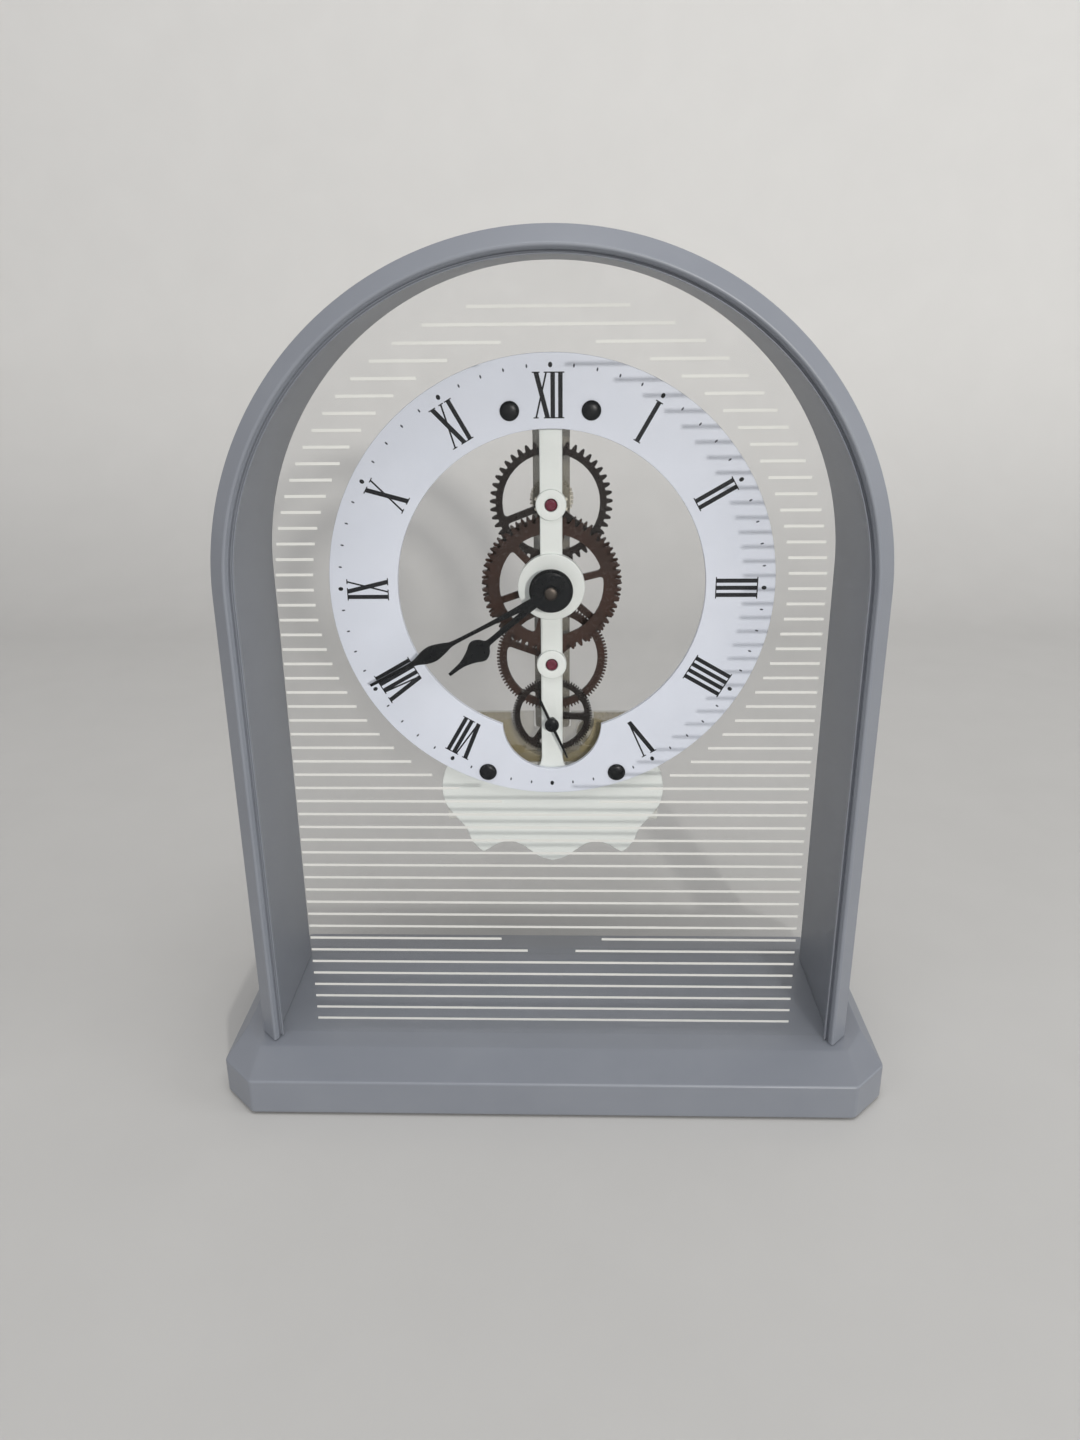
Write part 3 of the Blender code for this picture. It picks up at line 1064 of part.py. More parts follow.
def main():
    clear_scene()
    grey = material("case_grey", "8b8f9c", 0.42)
    rubber = material("foot_rubber", "26262a", 0.85)
    steel = material("screw_steel", "a9a9ad", 0.35, 1.0)
    clear = material("clear_pane", "e8edee", 0.05, 0.0, 0.25)
    white = material("plate_white", "dfe1dc", 0.5)
    dial = material("dial_white", "d3d7e0", 0.45)
    black = material("hand_black", "1a1a20", 0.45)
    ruby = material("jewel_ruby", "5e1734", 0.15)
    smoke = material("smoked_clear", "8f8878", 0.2, 0.0, 0.5)
    brown = material("wheel_brown", "4e352e", 0.4)
    pale = material("pinion_pale", "ddd9cf", 0.5)
    iron = material("motor_iron", "77787c", 0.4, 1.0)
    copper = material("coil_copper", "9a5430", 0.4, 1.0)
    board = material("board_green", "2f5a3a", 0.6)
    magnet = material("rotor_magnet", "3a3a3e", 0.5)
    tray = material("tray_white", "d9d9d4", 0.5)
    cell = material("cell_jacket", "55606e", 0.35)
    spring = material("contact_nickel", "c9c6bd", 0.3, 1.0)

    make_plinth(grey)
    make_plinth_cover(black)
    make_feet_and_base_screws(rubber, steel)
    make_case_arch(grey)
    make_front_pane(clear)
    make_rear_pane(clear)
    make_pane_screws(steel)
    make_dial_ring(dial)
    make_dial_screws(black)
    make_front_plate(white)
    make_jewels(ruby)
    make_rear_bridge(smoke)
    make_pillars(clear)
    make_motor_case(smoke)
    make_motor_cover(smoke)
    make_motor(iron, copper, board, spring)
    make_battery_tray(tray)
    make_battery(cell, spring)
    make_motion_work(brown, pale, steel)
    make_going_train(brown, magnet)
    make_hour_hand(black)
    make_minute_hand(black)
    make_second_hand(black)


main()
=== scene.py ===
import math

import bmesh
import bpy
from mathutils import Matrix, Vector


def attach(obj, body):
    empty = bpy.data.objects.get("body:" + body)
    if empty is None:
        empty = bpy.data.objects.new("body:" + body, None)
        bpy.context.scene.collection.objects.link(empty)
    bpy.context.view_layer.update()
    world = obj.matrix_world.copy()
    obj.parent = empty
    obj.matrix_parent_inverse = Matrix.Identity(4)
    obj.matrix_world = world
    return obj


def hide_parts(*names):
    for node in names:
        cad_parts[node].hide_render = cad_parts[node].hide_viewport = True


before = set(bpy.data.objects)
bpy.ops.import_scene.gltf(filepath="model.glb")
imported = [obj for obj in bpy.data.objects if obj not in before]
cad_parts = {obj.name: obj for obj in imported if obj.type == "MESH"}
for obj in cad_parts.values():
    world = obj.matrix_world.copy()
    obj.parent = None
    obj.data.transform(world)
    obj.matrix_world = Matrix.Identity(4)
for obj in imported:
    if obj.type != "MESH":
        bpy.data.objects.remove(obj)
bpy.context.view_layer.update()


# Plinth
# The hollow octagonal base is one moulding of satin blue-grey ABS, 2.4 mm thick, with its edges
# eased in the tool. The case stands on its flat top and is screwed to it from inside.

MM = 0.001
PLINTH_HALF = (82.5, 33.95)
PLINTH_LEVELS = (0.8, 10.0, 12.4)      # underside, shoulder, flat top
PLINTH_WALL = 2.4
CORNER_CUT = 8.3
BEVEL_RUN = (3.0, 10.9)                # at the ends, at the front and back
EDGE_EASE = 0.55
CORNER_EASE = 0.7
TOP_BORDER = 3.0                       # a ring of faces round the flat top


def linear(hex_colour):
    """The sRGB colour that the eye sees, as the linear values that a shader takes."""
    parts = [int(hex_colour[i:i + 2], 16) / 255 for i in (0, 2, 4)]
    return (*[v / 12.92 if v <= 0.04045 else ((v + 0.055) / 1.055) ** 2.4 for v in parts], 1.0)


def filled(node, *values, **given):
    """Fills a node: its settings and sockets by name, or by number as in in6, then its first sockets
    in order. A node that is given for a socket is linked by its first output."""
    given.update({f"in{k}": value for k, value in enumerate(values)})
    for name, value in given.items():
        if hasattr(node, name):
            setattr(node, name, value)
            continue
        numbered = name[:2] == "in" and name[2:].isdigit()
        socket = node.inputs[int(name[2:])] if numbered else node.inputs[name.replace("_", " ")]
        if isinstance(value, bpy.types.Node):
            value = value.outputs[0]
        if isinstance(value, bpy.types.NodeSocket):
            node.id_data.links.new(value, socket)
        else:
            socket.default_value = value
    return node


def add(tree, kind, *values, **given):
    """Adds a node, or a step of arithmetic where the kind is an operation such as ADD."""
    if "Node" in kind:
        return filled(tree.nodes.new(kind), *values, **given)
    return filled(tree.nodes.new("ShaderNodeMath"), *values, operation=kind)


def material(name):
    """A new material, its tree, its shader, and the place on the piece."""
    finish = bpy.data.materials.new(name)
    finish.use_nodes = True
    tree = finish.node_tree
    return finish, tree, tree.nodes["Principled BSDF"], add(tree, "ShaderNodeTexCoord").outputs["Object"]


def skinned(tree, shader, cloud, mark, dark, light, roughness, play, relief):
    """Gives a shader two tones in clouds, and marks that shift its roughness and stand in relief."""
    tone = add(tree, "ShaderNodeMix", data_type="RGBA", in0=cloud, in6=linear(dark), in7=linear(light))
    gloss = add(tree, "ShaderNodeMapRange", Value=mark, To_Min=roughness - play, To_Max=roughness + play)
    bump = add(tree, "ShaderNodeBump", Height=mark, Distance=relief * MM)
    filled(shader, Base_Color=tone.outputs[2], Roughness=gloss, Normal=bump)


def moulded(name, dark, light, roughness, grit=0.35, relief=0.004, ior=1.53, alpha=1.0):
    """Plastic, rubber or lacquer: clouds of tone 14 mm wide, and the grain that the mould's eroded
    face or the brush left. It is drawn `grit` mm wide, coarser than the real one, so that it shows."""
    finish, tree, shader, where = material(name)
    cloud = add(tree, "ShaderNodeTexNoise", Vector=where, Scale=1 / (14 * MM), Detail=3.0)
    grain = add(tree, "ShaderNodeTexNoise", Vector=where, Scale=1 / (grit * MM), Detail=2.0)
    skinned(tree, shader, cloud, grain, dark, light, roughness, play=0.06, relief=relief)
    filled(shader, IOR=ior, Alpha=alpha)
    return finish


def placed(name, data):
    """A new object in the scene."""
    thing = bpy.data.objects.new(name, data)
    bpy.context.scene.collection.objects.link(thing)
    return thing


def evaluated(thing):
    """What an object's modifiers or settings make of it, as a plain mesh."""
    graph = bpy.context.evaluated_depsgraph_get()
    return bpy.data.meshes.new_from_object(thing.evaluated_get(graph))


def laid(name, bm, finish):
    """Makes a piece of a bmesh, its faces outwards."""
    bmesh.ops.recalc_face_normals(bm, faces=bm.faces)
    mesh = bpy.data.meshes.new(name)
    bm.to_mesh(mesh)
    bm.free()
    mesh.materials.append(finish)
    return placed(name, mesh)


def kept(name, bm, finish, sharp=50.0):
    """Makes a smooth piece of a bmesh: doubles merged, flats shaded as flats."""
    bmesh.ops.remove_doubles(bm, verts=bm.verts, dist=1e-7)
    piece = laid(name, bm, finish)
    piece.data.shade_smooth()
    piece.data.set_sharp_from_angle(angle=math.radians(sharp))
    piece.modifiers.new("flats", "WEIGHTED_NORMAL").keep_sharp = True
    mesh = evaluated(piece)
    mesh.name = name
    piece.modifiers.clear()
    piece.data = mesh
    return piece


def fit(piece, slot, *nodes, body="clock"):
    """The piece rides on its body and stands for the CAD nodes it is made over."""
    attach(piece, body)
    if nodes:
        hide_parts(*nodes)


def eased(corners, ease, steps=3, closed=False):
    """Rounds the corners of a line, each by a short curve that starts `ease` before it."""
    line = []
    last = len(corners) - 1
    for k, corner in enumerate(corners):
        corner = Vector(corner)
        if not closed and k in (0, last):
            line.append(corner)
            continue
        before = Vector(corners[k - 1]) - corner
        after = Vector(corners[(k + 1) % len(corners)]) - corner
        start = corner + before.normalized() * min(ease, before.length * 0.45)
        end = corner + after.normalized() * min(ease, after.length * 0.45)
        for s in range(steps + 1):
            t = s / steps
            line.append(start * (1 - t) ** 2 + corner * 2 * t * (1 - t) + end * t * t)
    return line


def octagon(half_x, half_y, cut_x, cut_y, z):
    quarter = [(half_x, half_y - cut_y), (half_x - cut_x, half_y)]
    half = quarter + [(-x, y) for x, y in reversed(quarter)]
    return [Vector((x, y, z)) for x, y in half + [(-x, -y) for x, y in half]]


def plinth_side(inset, z):
    return octagon(PLINTH_HALF[0] - inset, PLINTH_HALF[1] - inset, CORNER_CUT, CORNER_CUT, z)


def plinth_flat(inset, z):
    half = [PLINTH_HALF[k] - BEVEL_RUN[k] - inset for k in (0, 1)]
    return octagon(*half, CORNER_CUT - BEVEL_RUN[0], CORNER_CUT, z)


def bridged(bm, rings):
    """Faces from one ring of corners to the next, and across both ends."""
    loops = [[bm.verts.new(corner) for corner in ring] for ring in rings]
    for low, high in zip(loops, loops[1:]):
        for k in range(len(low)):
            n = (k + 1) % len(low)
            bm.faces.new([low[k], low[n], high[n], high[k]])
    bm.faces.new(loops[0])
    bm.faces.new(loops[-1])


# ABS from a fine eroded tool: a satin skin with a soft, broad highlight and no visible texture
# further off than a hand's breadth.
satin_abs = moulded("satin_moulded_abs", "7a7e87", "83878f", 0.36)

low, shoulder, top = PLINTH_LEVELS
stations = [plinth_flat(PLINTH_WALL, top - PLINTH_WALL), plinth_side(PLINTH_WALL, shoulder - PLINTH_WALL),
            plinth_side(PLINTH_WALL, low), plinth_side(0.0, low), plinth_side(0.0, shoulder),
            plinth_flat(0.0, top), plinth_flat(TOP_BORDER, top)]
upward = [eased(corner, EDGE_EASE) for corner in zip(*stations)]
bm = bmesh.new()
bridged(bm, [[corner * MM for corner in eased(ring, CORNER_EASE, closed=True)] for ring in zip(*upward)])
fit(kept("plinth_moulding", bm, satin_abs), "case", "plinth")


# Plinth cover, feet and screws
# A black ABS plate closes the plinth from below. Four synthetic rubber feet are glued into its
# recesses, and four bright zinc-plated screws hold it; four more hold the case from inside.

# ABS again, but left with the coarser grain of a part that is never seen.
black_abs = moulded("grained_black_abs", "1b1c20", "232428", 0.5, grit=0.6, relief=0.012)
# Synthetic rubber: matt, slightly dusty, with the mould's flat faces.
rubber = moulded("moulded_rubber", "1e1e20", "2c2b2b", 0.82, grit=0.5, relief=0.02, ior=1.52)


def metal(name, dark, light, roughness, marks=0.5, stretch=(1.0, 1.0, 1.0), relief=0.002):
    """Bare or plated metal. The marks of its making are drawn `marks` mm apart, so that they show."""
    finish, tree, shader, where = material(name)
    lie = add(tree, "ShaderNodeMapping", Vector=where, Scale=stretch)
    mark = add(tree, "ShaderNodeTexNoise", Vector=lie, Scale=1 / (marks * MM), Detail=3.0)
    skinned(tree, shader, mark, mark, dark, light, roughness, play=0.08, relief=relief)
    filled(shader, Metallic=1.0)
    return finish


# Zinc plate on rolled steel: bright, slightly uneven, with the header's marks.
zinc = metal("zinc_plated_steel", "9c9da3", "bcbcc0", 0.32)


def coat(finish, *nodes):
    """Gives CAD nodes their real finish."""
    for node in nodes:
        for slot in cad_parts[node].material_slots:
            slot.material = finish


coat(black_abs, "plinth_cover")
coat(rubber, "foot_1", "foot_2", "foot_3", "foot_4")
coat(zinc, *[f"{kind}_{k}" for kind in ("cover_screw", "arch_screw") for k in (1, 2, 3, 4)])


# Case
# One arch-shaped band of the same ABS, 74.65 mm in outer radius. Its front rim has a wide outer
# bevel and a narrow steep one inside. A fine groove parts that from the lip over the front pane.

DIAL_Y = 7.05
DIAL_Z = 123.5
ARCH_Z = 126.8
CASE_FOOT = 12.7
CASE_INNER = 70.6
CASE_SECTION = ((4.05, 14.2), (4.05, -24.4), (0.35, -28.3), (-0.25, -28.3), (-0.8, -27.3), (-0.75, -25.9),
                (-1.25, -25.9), (-1.3, -26.5), (-1.6, -26.3), (-1.6, -25.0), (0.0, -25.0), (0.0, 11.4),
                (1.3, 11.4), (1.3, 14.2))      # out from the wall, depth


def grower(name, **sizes):
    """A geometry tree with an input for each size given. Returns it, its inputs and the index."""
    tree = bpy.data.node_groups.new(name, "GeometryNodeTree")
    tree.interface.new_socket("Geometry", in_out="OUTPUT", socket_type="NodeSocketGeometry")
    for label, value in sizes.items():
        kind = "NodeSocketInt" if isinstance(value, int) else "NodeSocketFloat"
        socket = tree.interface.new_socket(label.replace("_", " "), in_out="INPUT", socket_type=kind)
        socket.default_value = value
    tree.interface.new_socket("Finish", in_out="INPUT", socket_type="NodeSocketMaterial")
    return tree, add(tree, "NodeGroupInput").outputs, add(tree, "GeometryNodeInputIndex")


def finished(tree, geometry):
    """Stands the tree's flat work up to face the front, and ends the tree."""
    stood = add(tree, "GeometryNodeTransform", Geometry=geometry, Rotation=(math.pi / 2, 0.0, 0.0))
    real = add(tree, "GeometryNodeRealizeInstances", Geometry=stood)
    sizes = next(node for node in tree.nodes if node.type == "GROUP_INPUT").outputs
    surface = add(tree, "GeometryNodeSetMaterial", Geometry=real, Material=sizes["Finish"])
    add(tree, "NodeGroupOutput", Geometry=surface)


def dial_place(x, depth, z):
    return Vector((x, DIAL_Y + depth, DIAL_Z + z)) * MM


def to_place(bm, x, depth, z):
    """Takes work in millimetres to a point of the dial, in metres."""
    bmesh.ops.scale(bm, verts=bm.verts, vec=(MM, MM, MM))
    bmesh.ops.translate(bm, verts=bm.verts, vec=dial_place(x, depth, z))


def harvested(seed):
    """The bmesh of what a temporary object makes. The object goes."""
    mesh = evaluated(seed)
    bpy.data.objects.remove(seed, do_unlink=True)
    bm = bmesh.new()
    bm.from_mesh(mesh)
    return bm


def grown(name, tree, finish, at=(0.0, 0.0, 0.0), sharp=50.0, **sizes):
    """Runs a tree with the sizes given and keeps its mesh, moved to `at` (x, depth, z of the dial)."""
    seed = placed(name, bpy.data.meshes.new(name))
    step = seed.modifiers.new("form", "NODES")
    step.node_group = tree
    for item in tree.interface.items_tree:
        if item.name == "Finish":
            step[item.identifier] = finish
        elif item.in_out == "INPUT":
            value = sizes.get(item.name.replace(" ", "_"), item.default_value)
            step[item.identifier] = int(value) if item.socket_type == "NodeSocketInt" else float(value)
    bm = harvested(seed)
    to_place(bm, *at)
    return kept(name, bm, finish, sharp)


tree, size, index = grower("swept_arch", Radius=CASE_INNER, Drop=ARCH_Z - CASE_FOOT, Steps=128, Ease=0.45)
# the path goes up one leg, round the half circle and down the other leg
number = add(tree, "SUBTRACT", index, 1.0)
turn = add(tree, "MINIMUM", add(tree, "MAXIMUM", number, 0.0), size["Steps"])
angle = add(tree, "MULTIPLY", add(tree, "DIVIDE", turn, size["Steps"]), math.pi)
leg = add(tree, "MULTIPLY", add(tree, "ABSOLUTE", add(tree, "SUBTRACT", number, turn)), size["Drop"])
across = add(tree, "MULTIPLY", add(tree, "COSINE", angle), size["Radius"])
up = add(tree, "SUBTRACT", add(tree, "MULTIPLY", add(tree, "SINE", angle), size["Radius"]), leg)
point = add(tree, "ShaderNodeCombineXYZ", X=across, Y=up)
line = add(tree, "GeometryNodeResampleCurve", Count=add(tree, "ADD", size["Steps"], 3.0),
           Curve=add(tree, "GeometryNodeCurvePrimitiveLine"))
path = add(tree, "GeometryNodeSetPosition", Geometry=line, Position=point)
ring = add(tree, "GeometryNodeCurvePrimitiveCircle", Resolution=len(CASE_SECTION))
corner = add(tree, "GeometryNodeIndexSwitch", data_type="VECTOR", Index=index)
while len(corner.index_switch_items) < len(CASE_SECTION):
    corner.index_switch_items.new()
for k, (out, depth) in enumerate(CASE_SECTION, 1):
    corner.inputs[k].default_value = (out, depth, 0.0)
section = add(tree, "GeometryNodeSetPosition", Geometry=ring, Position=corner)
section = add(tree, "GeometryNodeFilletCurve", Curve=section, mode="POLY", Count=3, Radius=size["Ease"],
              Limit_Radius=True)
finished(tree, add(tree, "GeometryNodeCurveToMesh", Curve=path, Profile_Curve=section, Fill_Caps=True))
fit(grown("case_band", tree, satin_abs, at=(0.0, 0.0, ARCH_Z - DIAL_Z)), "case", "case_arch")


# Rear pane
# A 2 mm sheet of clear acrylic set in the case's rebate. It carries the whole movement, so it is
# drilled for the screws and the setting knob, and cut out round the battery tray.

REAR_PANE = (11.7, 13.7)               # front and back, from the ring's face
REAR_PANE_HALF = 71.6
PANE_EDGE = 0.2
UPPER_SCREW = (9.4, 41.4)
EARS = (34.0, -38.78)
TRAY_EARS = (14.0, -66.08)
TRAY_HOLE = [(-28.15, -64.1), (28.15, -64.1), (28.15, -47.2), (-28.15, -47.2)]
SCREW_HOLE = 1.3
ARBOR_HOLE = 1.5
MINUTE_Z = 19.8


def bearing(degrees):
    """Direction in the dial's plane, clockwise from twelve o'clock."""
    return math.sin(math.radians(degrees)), math.cos(math.radians(degrees))


def arc(x, z, radius, start, end, count):
    turns = [bearing(start + (end - start) * k / count) for k in range(count + 1)]
    return [(x + radius * dx, z + radius * dz) for dx, dz in turns]


def circle(x, z, radius, count=48):
    return arc(x, z, radius, 0.0, 360.0, count)[:-1]


def cut_sheet(name, loops, front, back, edge, finish):
    """A flat piece parallel to the dial, its edges eased by `edge`: closed lines in (x, z)."""
    drawing = bpy.data.curves.new(name, "CURVE")
    drawing.dimensions = "2D"
    drawing.fill_mode = "BOTH"
    drawing.extrude = (back - front) / 2 - edge
    drawing.bevel_depth = edge
    drawing.bevel_resolution = 1
    drawing.offset = -edge
    for loop in loops:
        line = drawing.splines.new("POLY")
        line.points.add(len(loop) - 1)
        for point, (x, z) in zip(line.points, loop):
            point.co = (x, z, 0.0, 1.0)
        line.use_cyclic_u = True
    bm = harvested(placed(name, drawing))
    bmesh.ops.remove_doubles(bm, verts=bm.verts, dist=1e-4)
    bmesh.ops.rotate(bm, verts=bm.verts, matrix=Matrix.Rotation(math.pi / 2, 3, "X"))
    to_place(bm, 0.0, (front + back) / 2, 0.0)
    return kept(name, bm, finish)


def pane_loop(half_width):
    """A pane's outline: straight sides on the plinth under a half circle."""
    foot = CASE_FOOT - DIAL_Z
    return [(-half_width, foot)] + arc(0.0, ARCH_Z - DIAL_Z, half_width, -90, 90, 96) + [(half_width, foot)]


def mirrored(place):
    return [place, (-place[0], place[1])]


# Cast acrylic sheet: clear with a trace of grey-green, polished, and so faintly hazy and dusty
# that it only dims what stands behind it.
def clear_acrylic():
    finish, tree, shader, where = material("polished_clear_acrylic")
    dust = add(tree, "ShaderNodeTexNoise", Vector=where, Scale=1 / (9 * MM), Detail=6.0, Roughness=0.7)
    haze = add(tree, "ShaderNodeMapRange", Value=dust, From_Min=0.35, From_Max=0.8, To_Min=0.015, To_Max=0.04)
    smear = add(tree, "ShaderNodeMapRange", Value=dust, To_Min=0.03, To_Max=0.12)
    tint = add(tree, "ShaderNodeMix", data_type="RGBA", in0=dust, in6=linear("5f6462"), in7=linear("777b79"))
    filled(shader, Base_Color=tint.outputs[2], Alpha=haze, Roughness=smear, IOR=1.49)
    return finish


acrylic = clear_acrylic()
holes = [eased(TRAY_HOLE, 1.0, 4, closed=True), circle(0.0, MINUTE_Z, ARBOR_HOLE)]
screws = [spot for place in (UPPER_SCREW, EARS, TRAY_EARS) for spot in mirrored(place)]
holes += [circle(x, z, SCREW_HOLE, 24) for x, z in screws]
loops = [pane_loop(REAR_PANE_HALF)] + holes
fit(cut_sheet("rear_glazing", loops, *REAR_PANE, PANE_EDGE, acrylic), "pane", "rear_pane")


# Motor housing and what is in it
# The stepping motor's housing is moulded in smoked clear polystyrene, so its well frames the
# seconds wheel in the ring's notch. Coil, stator and circuit board show faintly through it.

resin = {"grit": 2.5, "ior": 1.59}
toothed = {"grit": 0.8, "relief": 0.003}
# Smoked clear polystyrene: a polished, olive-grey resin that lets half the light through.
smoked = moulded("smoked_clear_polystyrene", "938662", "b2a57e", 0.16, alpha=0.45, **resin)
# The same resin unsmoked, in the thin cover behind the housing.
pale_cover = moulded("clear_polystyrene", "a9a593", "b8b4a3", 0.14, alpha=0.22, **resin)
# And smoked grey-brown, in the bridge that carries the rear pivots.
smoked_strip = moulded("grey_smoked_polystyrene", "76705f", "8a8475", 0.18, alpha=0.62, **resin)
# Cold-rolled transformer iron: grey, with the rolling marks lengthwise.
iron = metal("rolled_core_iron", "5f6064", "808186", 0.42, marks=0.5, stretch=(0.1, 1.0, 1.0))
# Enamelled copper wire, wound so fine that only a silky orange-brown gloss is left.
copper = metal("enamelled_copper_winding", "7d3d1c", "a85c2e", 0.35, marks=0.25, stretch=(1.0, 1.0, 6.0))
# Glass-fibre board under green solder mask: a slightly uneven, half-gloss green.
mask_green = moulded("solder_mask_green", "1f4a2c", "2d6440", 0.38, grit=0.5, relief=0.006)
# Nickel-plated spring brass, stamped and bent.
nickel = metal("nickel_plated_brass", "b3b0a6", "d2cfc6", 0.28)
# Sintered ferrite, dark and slightly porous.
ferrite = moulded("sintered_ferrite", "2e2e31", "403f42", 0.6, grit=0.25, relief=0.01)
# Brown acetal, glossy from the tool: reddish where the light gets into it.
brown_acetal = moulded("brown_moulded_acetal", "1c1310", "44281c", 0.26, ior=1.4, **toothed)
# The same, in darker tones, so that it looks nearly black against the light.
dark_acetal = moulded("dark_brown_moulded_acetal", "0d0a0a", "241713", 0.26, ior=1.36, **toothed)
# Natural acetal, as used for the one pale pinion, the motor's wheel and the knob: milky and waxy.
natural_acetal = moulded("natural_moulded_acetal", "d6d0c0", "e2ddd0", 0.35, grit=0.8, ior=1.48)

coat(smoked, "motor_case")
coat(pale_cover, "motor_cover")
coat(iron, "stator", "coil_core")
coat(copper, "coil")
coat(mask_green, "circuit_board")
coat(nickel, "quartz_can", "contact_plus", "contact_minus")
coat(ferrite, "rotor")
coat(natural_acetal, "intermediate_wheel")


# Battery tray and cell
# A white ABS trough behind the shroud, open to the back, with a nickel contact at each end. The
# cell is a plain steel can in a shrunk plastic jacket, and slides out to the back.

CELL_Z = -55.03
CELL_DEPTH = 13.05
CELL_LENGTH = 50.5
CAN_LENGTH = 49.2
CAN_RADIUS = 7.25
CAN_FACE = 5.6
NUB_FOOT = 49.0
NUB_RADIUS = 2.75
BAND_X = 14.0                          # where the jacket's second colour begins


def lathe(profile, sides=48):
    """A round body about the depth axis from (radius, depth) points, in millimetres."""
    bm = bmesh.new()
    rings = []
    for radius, depth in profile:
        turns = [bearing(360.0 * k / sides) for k in range(sides if radius else 1)]
        rings.append([bm.verts.new((radius * dx, depth, radius * dz)) for dx, dz in turns])
    for low, high in zip(rings, rings[1:]):
        for k in range(sides):
            n = (k + 1) % sides
            ring = [low[k % len(low)], low[n % len(low)], high[n % len(high)], high[k % len(high)]]
            ring = list(dict.fromkeys(ring))
            if len(ring) > 2:
                bm.faces.new(ring)
    return bm


def joined(name, *parts):
    """One piece of several that are fixed together."""
    with bpy.context.temp_override(active_object=parts[0], selected_editable_objects=list(parts)):
        bpy.ops.object.join()
    parts[0].name = name
    parts[0].data.name = name
    return parts[0]


# Tray: white ABS with the plain texture of an inside part.
white_abs = moulded("white_moulded_abs", "d3d3ce", "deded9", 0.48, grit=0.5, relief=0.006)
coat(white_abs, "battery_tray")


# Shrunk PVC jacket printed in two plain bands, smooth and fairly glossy.
def jacket():
    finish = moulded("printed_pvc_jacket", "434c58", "4a5460", 0.24, grit=1.5, relief=0.003)
    tree = finish.node_tree
    shader = tree.nodes["Principled BSDF"]
    where = add(tree, "ShaderNodeTexCoord").outputs["Object"]
    band = add(tree, "GREATER_THAN", add(tree, "ShaderNodeSeparateXYZ", Vector=where), BAND_X * MM)
    ground = shader.inputs["Base Color"].links[0].from_socket
    both = add(tree, "ShaderNodeMix", data_type="RGBA", in0=band, in6=ground, in7=linear("a8763f"))
    filled(shader, Base_Color=both.outputs[2])
    return finish


side = [(CAN_FACE, 0.0), (CAN_RADIUS, 0.0), (CAN_RADIUS, CAN_LENGTH), (CAN_FACE, CAN_LENGTH)]
can = lathe([(0, 0.0)] + eased(side, 0.7) + [(0, CAN_LENGTH)])
cap = [(NUB_RADIUS, NUB_FOOT), (NUB_RADIUS, CELL_LENGTH), (0.0, CELL_LENGTH)]
nub = lathe([(0, NUB_FOOT)] + eased(cap, 0.3))
pole = lathe([(0, -0.04), (4.5, -0.04), (4.6, 0.02), (4.6, 0.3), (0, 0.3)])
parts = []
for bm, finish in ((can, jacket()), (nub, nickel), (pole, nickel)):
    bmesh.ops.rotate(bm, verts=bm.verts, matrix=Matrix.Rotation(-math.pi / 2, 3, "Z"))
    to_place(bm, -CELL_LENGTH / 2, CELL_DEPTH, CELL_Z)
    parts.append(kept("cell", bm, finish))
fit(joined("dry_cell", *parts), "cell", "battery_cell", body="battery")


# Rear bridge and pillars
# A strip of the same smoked resin behind the wheels holds their rear pivots. Two clear pillars
# at its top arms stand between the front plate and the rear pane.

THIRD_Z = -19.74
SECONDS_Z = -35.03
HALF_STRIP = 4.5
TOP_ARM = 4.4                          # from the upper screw to the arm's edges
PILLAR_HOLE = 2.9
PIVOTS = ((MINUTE_Z, 1.3), (0.0, 1.0), (THIRD_Z, 0.6), (SECONDS_Z, 0.6))      # height, radius
screw_x, screw_z = UPPER_SCREW
right_edge = [(screw_x + TOP_ARM, screw_z + TOP_ARM), (screw_x + TOP_ARM, screw_z - TOP_ARM),
              (HALF_STRIP, screw_z - TOP_ARM), (HALF_STRIP, SECONDS_Z - HALF_STRIP)]
outline = eased(right_edge + [(-x, z) for x, z in reversed(right_edge)], 1.2, 5, closed=True)
holes = [circle(x, z, PILLAR_HOLE, 32) for x, z in mirrored(UPPER_SCREW)]
holes += [circle(0.0, z, radius, 24) for z, radius in PIVOTS]
strip = cut_sheet("rear_bridge_strip", [outline] + holes, front=9.6, back=11.1, edge=0.15,
                  finish=smoked_strip)
fit(strip, "smoke", "rear_bridge")
# Clear moulded acrylic, thicker than the panes and so a little less clear.
clear_post = moulded("clear_moulded_acrylic", "b9bdb9", "c6c9c5", 0.12, grit=2.0, alpha=0.45, ior=1.49)
coat(clear_post, "pillar_1", "pillar_2")


# Wheels
# The train runs in brown acetal wheels with three spokes, slender blunt teeth and moulded hubs.
# The two motion wheels are coarse, the going train below them is finer at each step.

SLENDER = {"Root_share": 0.55, "Mid_share": 0.4, "Tip_share": 0.18}


def meshing(driver_tooth, driver_teeth, follower_teeth, line):
    """Bearing of a follower's tooth that lies in mesh with the driver along line."""
    phase = (line - driver_tooth) / (360.0 / driver_teeth)
    return line + 180.0 - (360.0 / follower_teeth) * (0.5 - phase)


def counted(tree, index, count):
    """Which group of `count` points a point is in, and its number there."""
    group = add(tree, "FLOOR", add(tree, "DIVIDE", add(tree, "ADD", index, 0.5), float(count)))
    return group, add(tree, "SUBTRACT", index, add(tree, "MULTIPLY", group, float(count)))


def polar(tree, radius, turn):
    across = add(tree, "MULTIPLY", add(tree, "SINE", turn), radius)
    up = add(tree, "MULTIPLY", add(tree, "COSINE", turn), radius)
    return add(tree, "ShaderNodeCombineXYZ", X=across, Y=up)


